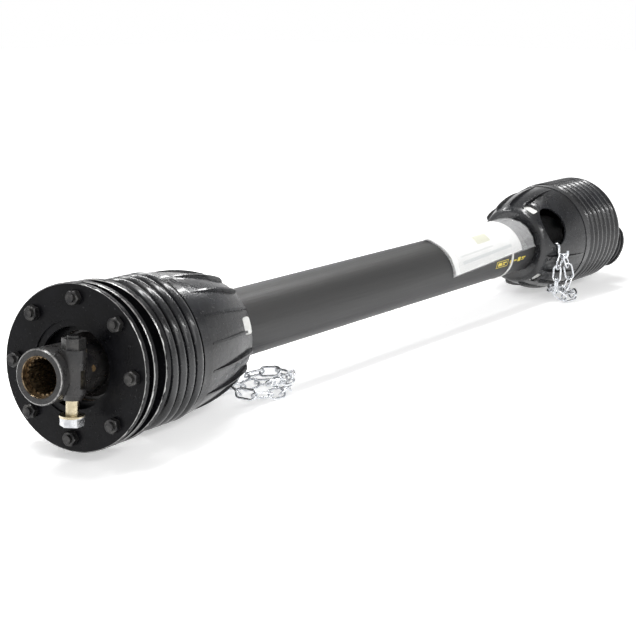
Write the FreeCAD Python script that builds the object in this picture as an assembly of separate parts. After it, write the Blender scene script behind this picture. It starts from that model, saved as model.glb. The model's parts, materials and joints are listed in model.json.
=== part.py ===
"""PTO drive shaft with a friction clutch, in millimetres.

A farm tractor turns the quick-fit yoke at the far end, and the machine
is turned by the clutch hub at the near end. Between them are two
universal joints and two profiled tubes that telescope. A plastic guard
of two cones and two tubes hangs on nylon rings and stands still on its
chains. The shaft lies on the floor as it comes to rest: both outer
yokes hang a little off the line of the tubes, and the chains lie in
heaps.

Working frame: the near cross is at the origin and the tubes run along
+X. At the end everything is moved so that the origin is the middle of
the underside.
"""
import math
import os

import FreeCAD
import Part

Vector = FreeCAD.Vector
Placement = FreeCAD.Placement
Rotation = FreeCAD.Rotation

ALONG = Vector(1, 0, 0)
SIDEWAYS = Vector(0, 1, 0)
UP = Vector(0, 0, 1)
HERE = Vector(0, 0, 0)

# Sizes that drive the rest
cross_spacing = 840.0        # one cross centre to the other, closed up
press_gap = 0.02             # radial gap of what is pressed in
running_gap = 0.3            # between pieces that turn on each other

# Universal joints: 30.2 x 80 mm crosses
cup_radius = 15.1
cup_reach = 40.0             # cross centre to the closed end of a cup
cup_length = 14.0
cup_floor = 3.0
journal_gap = 0.05
needle_layer = 4.1           # cup wall and its needles, as one bush
ear_radius = 20.0
ear_thickness = 16.0
ear_cover = 3.0              # ear past the closed end of the cup
fork_floor = 40.0            # cross centre to the bottom of the fork
circlip_wire = 1.6
circlip_bite = 1.1

# Profiled tubes, rounded triangles
profile_radius = 30.0        # outer tube, over the lobes
profile_lobe = 12.0
profile_wall = 4.0
profile_play = 0.35
socket_depth = 46.0
pin_radius = 5.0

# Guard tubes
tube_radius = 37.5
tube_wall = 2.6
tube_play = 0.6
inner_tube_wall = 2.4

# Guard cones
cone_wall = 2.6
seam_radius = 75.0
small_radius = 52.0
dome_length = 80.0           # seam to the small end
ring_height = 4.6            # of a bellows fold
fold_wall = 2.2
near_mouth = -10.0           # from the near cross towards the tubes
near_seam = 44.0
near_folds = 4
near_fold_radius = 77.5
far_mouth = -40.0
far_seam = 58.0
far_folds = 7
far_fold_radius = 77.5
band_length = 11.0           # plain band between folds and seam
fin_count = 16
fin_thickness = 2.2
fin_height = 4.6
flange_depth = 6.0           # seat of the guard tube in the cone
window_width = 19.0
window_length = 13.6
window_corner = 3.0
pocket_half_length = 17.0
pocket_half_width = 29.0
pocket_from_end = 25.0
near_pocket_angle = 344.0    # from +Y through +Z about the tubes
far_pocket_angle = 149.0
near_window_angle = 164.0    # one of three windows for the ring's tabs
far_window_angle = 112.0
slide_ring_width = 10.0
slide_ring_wall = 9.0
slide_ring_bite = 2.5

# Friction clutch, distances from the near cross towards the nose
plate_radius = 79.5
flange_back = 46.0
flange_thickness = 8.0
lining_thickness = 4.0
lining_inner = 34.0
lining_clear = 4.0           # from the bolts to the linings and the spring
driven_thickness = 6.0
pressure_thickness = 6.0
spring_room = 8.0
spring_thickness = 2.6
spring_inset = 1.0           # inner edge past halfway from hub to bolts
cover_thickness = 6.0
cover_overlap = 4.0          # of the cover over the spring's inner edge
cover_step_width = 6.5
cover_step = 1.6
bolt_from_rim = 13.5
bolt_count = 8
bolt_radius = 4.0
bolt_hex = 13.0
bolt_head_height = 5.3
bolt_nut_height = 6.5
bolt_end = 2.5
flat_gap = 0.1
flange_root = 34.0           # radius of the fork where it meets the flange

# Clutch hub with a 1 3/8 inch bore of 21 teeth
hub_radius = 26.0
hub_nose = 50.0              # past the cover plate
spline_major = 17.5
spline_minor = 16.1
near_teeth = 21
lead_radius = 18.6
lead_depth = 6.0
bush_wall = 3.0
spigot_radius = 28.0
spigot_length = 5.0
clamp_from_nose = 22.0
clamp_offset = 20.5
clamp_radius = 6.0
clamp_hex = 19.0
clamp_boss_radius = 12.0
clamp_boss_top = 25.0
clamp_boss_bottom = 21.0
clamp_shank_out = 14.0       # bare shank between boss and head
clamp_head = 8.0
clamp_flange = 2.0
clamp_nut_height = 10.0
clamp_slot = 8.0             # slot in the boss that shows the bolt
clamp_slot_length = 17.0

# Quick-fit yoke, distances from the far cross
yoke_length = 102.0
far_teeth = 6
collar_from_end = 38.0
collar_radius = 32.5
collar_wall = 3.4
collar_travel = 10.0
collar_chamber = 22.0        # length of the spring's room in the collar
collar_ridges = 4
ball_radius = 4.6
ball_count = 3
ball_from_end = 16.0
lock_wire = 2.0
spring_turns = 5
spring_flats = 20              # flats in one turn of the coil

# Rest pose, degrees
near_yaw = 16.0
near_pitch = 7.0
far_yaw = -25.0
far_pitch = 18.0

# Chains
chain_wire = 2.8
chain_pitch = 18.0
chain_width = 14.0
chain_slack = 1.1            # play of a link at each joint
chain_clear = 0.08           # gap wanted between laid links
chain_ways = 3               # rollings followed side by side
hook_wire = 4.0
hook_bend = 7.0              # centre radius of the hook's open end
hook_shank = 8.0
hook_side_play = 0.7         # two links side by side on one hook
hook_lift = 1.6
near_hook_from_end = 32.0
far_hook_from_end = 22.0
strand_gap = 22.0            # between the far chain's two strands
near_heap = Vector(150, -36, 0)
near_heap_radius = 32.0
near_heap_turns = 1.6
near_heap_start = 90.0      # degrees round the heap where it begins
far_heap = Vector(741, -63, 0)
far_heap_radius = 15.5
far_heap_turns = 1.2
far_heap_start = 201.0
heap_rise = 13.0             # one turn of a heap over the one below

# Papers in their bag, and the tie that holds it
pouch_start = 499.0
pouch_length = 196.0
pouch_thickness = 2.6
pouch_high = 75.0            # edge beyond the top, seen along +X
pouch_low = 182.0            # edge on the near side
tie_place = 644.0
tie_width = 3.6
tie_thickness = 1.2
tie_gap = 0.25

# Sizes that follow
inner_tube_radius = tube_radius - tube_wall - tube_play
ear_inside = cup_reach + ear_cover - ear_thickness
ear_outside = cup_reach + ear_cover
journal_radius = cup_radius - needle_layer - journal_gap
near_end = near_seam + dome_length
far_end = far_seam + dome_length
near_hub_radius = tube_radius - tube_wall - 1.2
far_hub_radius = inner_tube_radius - inner_tube_wall - 1.2
hub_front = flange_back + flange_thickness + lining_thickness
driven_front = hub_front + driven_thickness
pressure_back = driven_front + lining_thickness
pressure_front = pressure_back + pressure_thickness
cover_back = pressure_front + spring_room
cover_front = cover_back + cover_thickness
nose = cover_front + hub_nose
bolt_circle = plate_radius - bolt_from_rim
lining_outer = bolt_circle - bolt_radius - lining_clear
spring_outer = bolt_circle - bolt_radius - lining_clear
spring_inner = (hub_radius + spring_outer) / 2 + spring_inset
cover_opening = spring_inner - cover_overlap
cover_step_radius = cover_opening + cover_step_width
collar_start = yoke_length - collar_from_end
floor_level = -max(near_fold_radius, far_fold_radius)
chain_bed = chain_wire / 2 + (chain_width - chain_wire) * 0.36 + 0.4


def cylinder(radius, start, end, axis=ALONG, centre=HERE):
    """A round bar between two distances along an axis through centre."""
    return Part.makeCylinder(radius, end - start, centre + axis * start, axis)


def pipe(outer, inner, start, end, axis=ALONG, centre=HERE):
    """A round bar with a bore right through."""
    bar = cylinder(outer, start, end, axis, centre)
    return bar.cut(cylinder(inner, start - 1, end + 1, axis, centre))


def outline(points):
    """A closed wire in the XZ plane; (x, r) corners, or an arc as two."""
    edges = []
    here = None
    first = None
    for item in points + [points[0]]:
        if len(item) == 2:
            spot = Vector(item[0], 0, item[1])
            if here is None:
                first = spot
            elif (spot - here).Length > 1e-6:
                edges.append(Part.LineSegment(here, spot).toShape())
            here = spot
        else:
            middle = Vector(item[0], 0, item[1])
            spot = Vector(item[2], 0, item[3])
            edges.append(Part.Arc(here, middle, spot).toShape())
            here = spot
    if (here - first).Length > 1e-6:
        raise ValueError("outline is open")
    return Part.Wire(edges)


def turned(points):
    """A turned piece: the closed outline spun round the X axis."""
    return Part.Face(outline(points)).revolve(HERE, ALONG, 360)


def fused(shapes):
    """One solid from several that touch."""
    whole = shapes[0]
    if len(shapes) > 1:
        whole = whole.fuse(shapes[1:])
    return whole.removeSplitter()


def hexagon(across_flats, start, end, axis=ALONG, centre=HERE, side=UP):
    """A hexagonal bar between two distances along an axis."""
    other = axis.cross(side)
    corner = across_flats / math.sqrt(3)
    points = []
    for step in range(7):
        turn = math.radians(60 * step)
        spot = side * (corner * math.cos(turn)) + other * (corner * math.sin(turn))
        points.append(centre + axis * start + spot)
    face = Part.Face(Part.makePolygon(points))
    return face.extrude(axis * (end - start))


def ring_of(shape, count, first=0.0):
    """Copies of a shape spread evenly round the X axis."""
    copies = []
    for step in range(count):
        copy = shape.copy()
        copy.rotate(HERE, ALONG, first + 360.0 * step / count)
        copies.append(copy)
    return copies


def star(count, minor, major, share, start, end):
    """The space of a splined bore: grooves out to major between teeth."""
    points = []
    groove = math.pi / count * share
    for step in range(count):
        middle = 2 * math.pi * step / count
        for turn, radius in ((-groove, minor), (-groove * 0.8, major),
                             (groove * 0.8, major), (groove, minor)):
            points.append(Vector(start, radius * math.cos(middle + turn),
                                 radius * math.sin(middle + turn)))
    points.append(points[0])
    return Part.Face(Part.makePolygon(points)).extrude(ALONG * (end - start))


# Universal joints. A fork is drawn with the cross at the origin, its
# pins along Z and its hub towards +X.

def fork(hub, floor=fork_floor):
    """The two ears of a yoke and the arms that carry them."""
    root = floor + 8
    bend = ear_radius * 0.9
    side = outline([
        (-ear_radius, ear_inside), (-ear_radius, ear_outside),
        (ear_radius * 0.7, ear_outside), (root, hub), (root, -hub),
        (ear_radius * 0.7, -ear_outside), (-ear_radius, -ear_outside),
        (-ear_radius, -ear_inside), (bend, -ear_inside),
        (floor, 0, bend, ear_inside)])
    arms = Part.Face(side).extrude(SIDEWAYS * (4 * ear_radius))
    arms.translate(SIDEWAYS * (-2 * ear_radius))
    waist = ear_radius * 0.86
    plan = Part.Wire([
        Part.Arc(Vector(0, ear_radius, 0), Vector(-ear_radius, 0, 0),
                 Vector(0, -ear_radius, 0)).toShape(),
        Part.LineSegment(Vector(0, -ear_radius, 0),
                         Vector(ear_radius, -waist, 0)).toShape(),
        Part.LineSegment(Vector(ear_radius, -waist, 0),
                         Vector(root, -hub, 0)).toShape(),
        Part.LineSegment(Vector(root, -hub, 0),
                         Vector(root, hub, 0)).toShape(),
        Part.LineSegment(Vector(root, hub, 0),
                         Vector(ear_radius, waist, 0)).toShape(),
        Part.LineSegment(Vector(ear_radius, waist, 0),
                         Vector(0, ear_radius, 0)).toShape()])
    tower = Part.Face(plan).extrude(UP * (2 * ear_outside))
    tower.translate(UP * -ear_outside)
    return arms.common(tower)


def bored_for_cups(yoke):
    """Cup bores through both ears, each with a circlip groove."""
    yoke = yoke.cut(cylinder(cup_radius + press_gap, -ear_outside - 1,
                             ear_outside + 1, UP))
    groove = cup_radius + circlip_bite
    for side in (1, -1):
        low = cup_reach + 0.05
        yoke = yoke.cut(cylinder(groove, low, low + circlip_wire + 0.1,
                                 UP * side))
    return yoke


def bearing_cups(axis):
    """Two cups with their needles, closed at the outer end."""
    cups = []
    for side in (1, -1):
        away = axis * side
        cup = cylinder(cup_radius, cup_reach - cup_length, cup_reach, away)
        bore = cylinder(cup_radius - needle_layer, cup_reach - cup_length - 1,
                        cup_reach - cup_floor, away)
        cups.append(cup.cut(bore))
    return cups


def circlips(axis, across):
    """Two C rings that hold the cups, with eyes at their gap."""
    rings = []
    outer = cup_radius + circlip_bite - 0.15
    inner = outer - 3.2
    for side in (1, -1):
        away = axis * side
        low = cup_reach + 0.1
        high = low + circlip_wire
        ring = pipe(outer, inner, low, high, away)
        eyes = []
        for hand in (1, -1):
            spot = across * (inner - 1.2) + across.cross(axis) * (hand * 3.6)
            eyes.append(cylinder(2.3, low, high, away, spot))
        ring = fused([ring] + eyes)
        gap = Part.makeBox(6.0, 2.4, 4.0, Vector(-3, -1.2, -2))
        gap = turned_to(gap, across, across.cross(axis), axis)
        gap.translate(across * (outer - 1.6) + away * (low + circlip_wire / 2))
        ring = ring.cut(gap)
        for hand in (1, -1):
            spot = across * (inner - 1.4) + across.cross(axis) * (hand * 3.6)
            ring = ring.cut(cylinder(0.9, low - 1, high + 1, away, spot))
        rings.append(ring)
    return rings


def turned_to(shape, new_x, new_y, new_z):
    """The shape with its axes laid on three others."""
    frame = FreeCAD.Matrix(new_x.x, new_y.x, new_z.x, 0,
                           new_x.y, new_y.y, new_z.y, 0,
                           new_x.z, new_y.z, new_z.z, 0,
                           0, 0, 0, 1)
    copy = shape.copy()
    copy.Placement = Placement(frame).multiply(copy.Placement)
    return copy


def cross_piece():
    """Spider with four journals, pins along Y and Z."""
    journal_end = cup_reach - cup_floor - 0.2
    collar = cup_reach - cup_length - running_gap
    arms = []
    for axis in (SIDEWAYS, UP):
        arms.append(cylinder(journal_radius, -journal_end, journal_end, axis))
        arms.append(cylinder(journal_radius + 2.4, -collar, collar, axis))
    arms.append(Part.makeSphere(journal_radius + 6.5))
    spider = fused(arms)
    return spider.cut(grease_hole())


def grease_hole():
    return cylinder(3.0 + press_gap, 12.0, 30.0, grease_way)


grease_way = Vector(0, -math.sqrt(0.5), math.sqrt(0.5))


def grease_nipple():
    """Hexagon, stem and ball end of the nipple on the cross."""
    body = (journal_radius + 2.4) * math.sqrt(2) + 4.2
    side = Vector(1, 0, 0)
    return fused([
        cylinder(3.0, 12.0, body, grease_way),
        hexagon(8.0, body, body + 4.0, grease_way, HERE, side),
        cylinder(2.4, body + 4.0, body + 7.0, grease_way),
        cylinder(3.1, body + 7.0, body + 9.5, grease_way)])


# Profiled tubes

def triangle(radius, lobe, start, end):
    """A bar whose section is a triangle with three round lobes."""
    reach = radius - lobe
    edges = []
    for step in range(3):
        here = math.radians(90 + 120 * step)
        after = math.radians(210 + 120 * step)
        centre = Vector(start, reach * math.cos(here), reach * math.sin(here))
        following = Vector(start, reach * math.cos(after),
                           reach * math.sin(after))
        spots = []
        for turn in (-60, 0, 60):
            way = here + math.radians(turn)
            spots.append(centre + Vector(0, lobe * math.cos(way),
                                         lobe * math.sin(way)))
        edges.append(Part.Arc(*spots).toShape())
        way = after - math.radians(60)
        nxt = following + Vector(0, lobe * math.cos(way), lobe * math.sin(way))
        edges.append(Part.LineSegment(spots[2], nxt).toShape())
    return Part.Face(Part.Wire(edges)).extrude(ALONG * (end - start))


def profile_tube(radius, lobe, start, end):
    outer = triangle(radius, lobe, start, end)
    return outer.cut(triangle(radius - profile_wall, lobe - profile_wall,
                              start - 1, end + 1))


def inner_yoke(hub, end, tube, lobe):
    """Fork, long hub with the slide ring's groove, and tube socket."""
    yoke = fused([fork(hub * 0.9),
                  turned([(fork_floor + 3, 0), (fork_floor + 3, hub - 3),
                          (fork_floor + 8, hub), (end + 4, hub),
                          (end + 4, 0)])])
    yoke = bored_for_cups(yoke)
    groove_start, groove_end = ring_place(end)
    yoke = yoke.cut(pipe(hub + 5, hub - slide_ring_bite,
                         groove_start - running_gap, groove_end + running_gap))
    yoke = yoke.cut(triangle(tube + press_gap, lobe + press_gap,
                             end + 4 - socket_depth, end + 5))
    return yoke.cut(pin_hole(hub, end))


def pin_hole(hub, end):
    """Hole for the spring pin, across the hub and the tube in it."""
    return cylinder(pin_radius + press_gap, -hub - 1, hub + 1, UP,
                    Vector(end - socket_depth / 2 - 6, 0, 0))


def ring_place(end):
    """Where the slide ring lies, from the small end of its cone."""
    high = end - flange_depth - 2.0
    return high - slide_ring_width, high


def roll_pin(hub, end):
    """Split spring pin through the hub and the profiled tube."""
    centre = Vector(end - socket_depth / 2 - 6, 0, 0)
    pin = pipe(pin_radius, pin_radius - 1.6, -hub + 0.5, hub - 0.5, UP, centre)
    slot = Part.makeBox(pin_radius + 1, 1.4, 2 * hub,
                        centre + Vector(0, -0.7, -hub))
    return pin.cut(slot)


# Guard cones, drawn with +X from the cross towards the tubes

def dome_radius(place, seam):
    """Outside radius of the dome at a distance from the cross."""
    share = (place - seam) / dome_length
    return seam_radius - 1.0 - (seam_radius - 1.0 - small_radius) * share ** 1.6


def cone_shell(mouth, seam, folds, fold_radius, seat_radius, pass_radius):
    """Bellows, plain band, dome and the flange that holds the tube."""
    end = seam + dome_length
    band = seam - band_length
    pitch = (band - mouth) / folds
    valley = fold_radius - ring_height
    outer = [(mouth, valley - cone_wall), (mouth, valley)]
    half_fold = pitch * 0.46
    bend = (half_fold ** 2 + ring_height ** 2) / (2 * ring_height)
    hollow = math.sqrt((bend - fold_wall) ** 2 - (bend - ring_height) ** 2)
    for step in range(folds):
        start = mouth + step * pitch
        outer.append((start + half_fold, fold_radius,
                      start + 2 * half_fold, valley))
        outer.append((start + pitch, valley))
    outer.append((band, seam_radius + 0.4))
    outer.append((seam - 0.5, seam_radius))
    outer.append((seam - 0.5, seam_radius - 0.9))
    outer.append((seam + 0.5, seam_radius - 0.9))
    outer.append((seam + 0.5, dome_radius(seam, seam)))
    half = seam + dome_length * 0.5
    rim = end - 5.0
    outer.append((half, dome_radius(half, seam), rim, dome_radius(rim, seam)))
    outer.append((end - 1.2, small_radius - 1.6, end, small_radius - 5.0))
    outer.append((end, pass_radius))
    if pass_radius > seat_radius:
        outer.append((end - flange_depth / 2, pass_radius))
        outer.append((end - flange_depth / 2, seat_radius))
    outer.append((end - flange_depth, seat_radius))
    outer.append((end - flange_depth, tube_radius + 4.5))
    outer.append((end - cone_wall, tube_radius + 5.5))
    outer.append((end - cone_wall, small_radius - 8.0))
    outer.append((rim - 2, dome_radius(rim, seam) - cone_wall - 1.0))
    outer.append((half, dome_radius(half, seam) - cone_wall,
                  seam, seam_radius - 1.0 - cone_wall))
    outer.append((band, valley - cone_wall))
    back = []
    for step in reversed(range(folds)):
        crest = mouth + step * pitch + half_fold
        back.append((crest + half_fold - 0.6, valley - cone_wall))
        back.append((crest + hollow, valley))
        back.append((crest, fold_radius - fold_wall, crest - hollow, valley))
        back.append((crest - half_fold + 0.6, valley - cone_wall))
    return turned(outer + back)


def fin(seam):
    """One sickle-shaped rib of the dome, at the top."""
    start = seam + 3.0
    tip = seam + dome_length - 5.0
    crest = tip - 7.0
    shoulder = tip - 2.0
    root = tip - 12.0
    low = cone_wall * 0.6
    belly = seam + dome_length * 0.5
    blade = outline([
        (start, dome_radius(start, seam) + 0.3),
        (belly, dome_radius(belly, seam) + fin_height * 0.7,
         crest, dome_radius(crest, seam) + fin_height),
        (shoulder, dome_radius(shoulder, seam) + fin_height * 0.62,
         tip, dome_radius(tip, seam) - 0.6),
        (root, dome_radius(root, seam) - low),
        (belly, dome_radius(belly, seam) - low,
         start, dome_radius(start, seam) - low)])
    plate = Part.Face(blade).extrude(SIDEWAYS * fin_thickness)
    plate.translate(SIDEWAYS * (-fin_thickness / 2))
    return plate


def radial_box(length, width, place, inside, outside, corner):
    """A box on the +Z side, standing out from the axis, corners round."""
    box = Part.makeBox(length, width, outside - inside,
                       Vector(place - length / 2, -width / 2, inside))
    upright = [edge for edge in box.Edges
               if abs(edge.tangentAt(edge.FirstParameter).z) > 0.9]
    return box.makeFillet(corner, upright)


def guard_cone(mouth, seam, folds, fold_radius, seat, passing, pocket_angle,
               window_angle):
    """Guard cone: its bellows, and its dome with fins, ring windows and
    hook pocket, which meet at the seam."""
    end = seam + dome_length
    low, high = ring_place(end)
    middle = (low + high) / 2
    shell = cone_shell(mouth, seam, folds, fold_radius, seat, passing)
    pocket_place = end - pocket_from_end
    pocket_spot = pocket_angle - 90.0
    fins = []
    fin_free = math.degrees(pocket_half_width / small_radius) + 10.0
    for step in range(fin_count):
        turn = 360.0 * (step + 0.5) / fin_count
        apart = (turn - pocket_spot + 180.0) % 360.0 - 180.0
        if abs(apart) < fin_free:
            continue
        blade = fin(seam)
        blade.rotate(HERE, ALONG, turn)
        fins.append(blade)
    cone = shell.fuse(fins)
    hole = Part.Face(Part.Wire(Part.Ellipse(
        HERE, pocket_half_width, pocket_half_length).toShape()))
    hole = hole.extrude(UP * fold_radius)
    hole.rotate(HERE, UP, 90)
    hole.translate(Vector(pocket_place, 0, tube_radius + 5.5))
    hole.rotate(HERE, ALONG, pocket_spot)
    window = radial_box(window_length, window_width, middle,
                        tube_radius, fold_radius, window_corner)
    cone = cone.cut([hole] + ring_of(window, 3, window_angle - 90.0))
    cone = cone.removeSplitter()
    side = 4 * fold_radius
    bellows_side = Part.makeBox(side, side, side,
                                Vector(seam - side, -side / 2, -side / 2))
    return cone.common(bellows_side), cone.cut(bellows_side)


def slide_ring(hub, end, seam, window_angle):
    """Nylon ring in the hub's groove; three tabs fill the windows."""
    low, high = ring_place(end)
    bore = hub - slide_ring_bite + 0.1
    ring = pipe(bore + slide_ring_wall, bore, low, high)
    middle = (low + high) / 2
    top = dome_radius(middle, seam) - 1.4
    tab = radial_box(window_length - 2 * tie_gap,
                     window_width - 2 * tie_gap, middle,
                     bore + slide_ring_wall - 2.0, top, window_corner - tie_gap)
    keep = pipe(top, bore + 1.0, low - 5, high + 5)
    return fused([ring] + [tab_.common(keep)
                           for tab_ in ring_of(tab, 3, window_angle - 90.0)])


# Friction clutch and hub, drawn with +X towards the nose, +Y up and
# the clamp bolt on the -Z side

def bolt_holes(plate, start, end):
    hole = cylinder(bolt_radius + 0.15, start - 1, end + 1, ALONG,
                    SIDEWAYS * bolt_circle)
    return plate.cut(ring_of(hole, bolt_count))


def flange_yoke():
    """Fork and round plate in one forging, with the hub's spigot."""
    front = flange_back + flange_thickness
    yoke = fused([fork(flange_root, fork_floor - 2),
                  turned([(flange_back, 0), (flange_back, plate_radius - 1),
                          (flange_back + 1, plate_radius),
                          (front - 1, plate_radius),
                          (front, plate_radius - 1), (front, spigot_radius),
                          (front + spigot_length, spigot_radius),
                          (front + spigot_length, 0)])])
    return bolt_holes(bored_for_cups(yoke), flange_back, front)


def lining(start):
    return pipe(lining_outer, lining_inner, start,
                start + lining_thickness - flat_gap)


def hub_bush():
    """Bronze bush between the spigot and the driven plate."""
    front = flange_back + flange_thickness
    return pipe(spigot_radius + bush_wall, spigot_radius + press_gap,
                front + flat_gap, front + spigot_length)


def clutch_hub():
    """Driven plate and splined hub with the clamp bolt's boss."""
    bush = spigot_radius + bush_wall + 0.05
    front = flange_back + flange_thickness
    body = turned([(hub_front, spline_major + 2), (hub_front, lining_outer),
                   (driven_front, lining_outer), (driven_front, hub_radius + 5),
                   (driven_front + 5, hub_radius), (nose - 1.5, hub_radius),
                   (nose, hub_radius - 1.5), (nose, spline_major + 2),
                   (nose - 1, spline_minor), (hub_front + 1, spline_minor)])
    place = Vector(nose - clamp_from_nose, 0, -clamp_offset)
    boss = cylinder(clamp_boss_radius, -clamp_boss_bottom + 6,
                    clamp_boss_top, SIDEWAYS, place)
    taper = Part.makeCone(clamp_boss_radius - 3.5, clamp_boss_radius, 6.0,
                          place + SIDEWAYS * -clamp_boss_bottom, SIDEWAYS)
    web = Part.makeBox(2 * clamp_boss_radius,
                       clamp_boss_top + clamp_boss_bottom - 10,
                       clamp_offset,
                       place + Vector(-clamp_boss_radius,
                                      -clamp_boss_bottom + 8, 0))
    body = fused([body, boss, taper, web])
    body = body.cut(cylinder(bush, hub_front - 1,
                             front + spigot_length + 1.0))
    body = body.cut(star(near_teeth, spline_minor, spline_major, 0.52,
                         hub_front - 1, nose + 1))
    body = body.cut(cylinder(spline_minor, hub_front - 1, nose + 1))
    body = body.cut(turned([(nose - lead_depth, 0),
                            (nose - lead_depth, lead_radius),
                            (nose - 1, lead_radius),
                            (nose, lead_radius + 1), (nose + 1, lead_radius + 1),
                            (nose + 1, 0)]))
    slot = Part.makeBox(clamp_slot, clamp_slot_length, clamp_boss_radius,
                        place + Vector(-clamp_slot / 2, -10.0,
                                       -clamp_boss_radius - 1))
    body = body.cut(slot)
    body = body.cut(cylinder(clamp_radius + 0.1, -clamp_boss_bottom - 1,
                             clamp_boss_top + 1, SIDEWAYS, place))
    return body.removeSplitter()


def pressure_plate():
    plate = turned([(pressure_back, lining_inner),
                    (pressure_back, plate_radius - 0.8),
                    (pressure_back + 0.8, plate_radius),
                    (pressure_front - 0.8, plate_radius),
                    (pressure_front, plate_radius - 0.8),
                    (pressure_front, lining_inner)])
    return bolt_holes(plate, pressure_back, pressure_front)


def disc_spring():
    """Dished spring between the pressure plate and the cover."""
    rise = spring_room - spring_thickness - 2 * flat_gap
    low = pressure_front + flat_gap
    return turned([(low, spring_outer), (low + spring_thickness, spring_outer),
                   (low + rise + spring_thickness, spring_inner),
                   (low + rise, spring_inner)])


def cover_plate():
    """Front plate of the clutch, stepped round the hub."""
    plate = turned([(cover_back, cover_step_radius),
                    (cover_back, plate_radius - 0.8),
                    (cover_back + 0.8, plate_radius),
                    (cover_front - 1.2, plate_radius),
                    (cover_front, plate_radius - 1.2),
                    (cover_front, cover_step_radius),
                    (cover_front - cover_step, cover_step_radius),
                    (cover_front - cover_step, cover_opening),
                    (cover_back, cover_opening)])
    return bolt_holes(plate, cover_back, cover_front)


def clutch_bolts():
    bolt = fused([hexagon(bolt_hex, flange_back - bolt_head_height,
                          flange_back, ALONG, SIDEWAYS * bolt_circle),
                  cylinder(bolt_radius, flange_back,
                           cover_front + bolt_nut_height + bolt_end, ALONG,
                           SIDEWAYS * bolt_circle)])
    return ring_of(bolt, bolt_count)


def clutch_nuts():
    centre = SIDEWAYS * bolt_circle
    nut = hexagon(bolt_hex, cover_front, cover_front + bolt_nut_height,
                  ALONG, centre)
    nut = nut.common(turned([(cover_front, 0), (cover_front, bolt_hex * 0.56),
                             (cover_front + bolt_nut_height - 1.4,
                              bolt_hex * 0.577),
                             (cover_front + bolt_nut_height, bolt_hex * 0.48),
                             (cover_front + bolt_nut_height, 0)])
                     .translated(centre))
    nut = nut.cut(cylinder(bolt_radius + 0.05, cover_front - 1,
                           cover_front + bolt_nut_height + 1, ALONG, centre))
    return ring_of(nut, bolt_count)


def clamp_bolt():
    """Flanged bolt across the hub, head down, not yet driven home."""
    place = Vector(nose - clamp_from_nose, 0, -clamp_offset)
    seat = -clamp_boss_bottom - clamp_shank_out
    return fused([
        cylinder(clamp_radius, seat, clamp_boss_top + clamp_nut_height + 2.5,
                 SIDEWAYS, place),
        cylinder(clamp_hex * 0.62, seat - clamp_flange, seat, SIDEWAYS, place),
        hexagon(clamp_hex, seat - clamp_flange - clamp_head,
                seat - clamp_flange, SIDEWAYS, place, ALONG)])


def clamp_nut():
    place = Vector(nose - clamp_from_nose, 0, -clamp_offset)
    high = clamp_boss_top + clamp_nut_height
    nut = hexagon(clamp_hex, clamp_boss_top, high, SIDEWAYS, place, ALONG)
    return nut.cut(cylinder(clamp_radius + 0.05, clamp_boss_top - 1, high + 1,
                            SIDEWAYS, place))


# Quick-fit yoke at the tractor end, drawn with +X away from the shaft

def quick_yoke():
    """Fork and splined hub with holes for the locking balls."""
    body = fused([fork(hub_radius + 2),
                  turned([(fork_floor + 3, 0), (fork_floor + 3, hub_radius),
                          (fork_floor + 8, hub_radius + 2),
                          (collar_start - collar_travel - 1, hub_radius + 2),
                          (collar_start - collar_travel - 1, hub_radius),
                          (yoke_length - 1.5, hub_radius),
                          (yoke_length, hub_radius - 1.5),
                          (yoke_length, 0)])])
    body = bored_for_cups(body)
    body = body.cut(star(far_teeth, spline_minor - 1.6, spline_major, 0.5,
                         fork_floor - 2, yoke_length + 1))
    body = body.cut(cylinder(spline_minor - 1.6, fork_floor - 2,
                             yoke_length + 1))
    body = body.cut(turned([(yoke_length - lead_depth, 0),
                            (yoke_length - lead_depth, lead_radius),
                            (yoke_length - 1, lead_radius),
                            (yoke_length, lead_radius + 1),
                            (yoke_length + 1, lead_radius + 1),
                            (yoke_length + 1, 0)]))
    ball_hole = cylinder(ball_radius + 0.1, 10, hub_radius + 5, UP,
                         Vector(yoke_length - ball_from_end, 0, 0))
    body = body.cut(ring_of(ball_hole, ball_count))
    body = body.cut(pipe(hub_radius + 1, hub_radius - 1.4,
                         yoke_length - 4.7, yoke_length - 2.9))
    return body.removeSplitter()


def lock_balls():
    out = hub_radius - 0.05 - ball_radius
    ball = Part.makeSphere(ball_radius,
                           Vector(yoke_length - ball_from_end, 0, out))
    return ring_of(ball, ball_count)


def lock_collar():
    """Sliding collar with grip rings and the spring's chamber."""
    end = yoke_length - 4.9
    bore = hub_radius + 0.25
    chamber = collar_radius - collar_wall
    wide = (end - collar_start) / (2 * collar_ridges + 1)
    points = [(collar_start, chamber), (collar_start, collar_radius - 2)]
    for step in range(collar_ridges):
        ridge = collar_start + wide * (2 * step + 0.5)
        points.append((ridge, collar_radius - 2))
        points.append((ridge + wide * 0.5, collar_radius,
                       ridge + wide, collar_radius - 2))
    points += [(end - wide, collar_radius - 2), (end - wide, collar_radius),
               (end - 1, collar_radius), (end, collar_radius - 1),
               (end, bore), (collar_start + collar_chamber, bore),
               (collar_start + collar_chamber, chamber)]
    return turned(points)


def lock_ring():
    ring = pipe(hub_radius + 1.6, hub_radius - 1.3, yoke_length - 4.6,
                yoke_length - 3.0)
    gap = Part.makeBox(4.0, 3.0, 2 * hub_radius,
                       Vector(yoke_length - 6, -1.5, 0))
    return ring.cut(gap)


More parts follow.
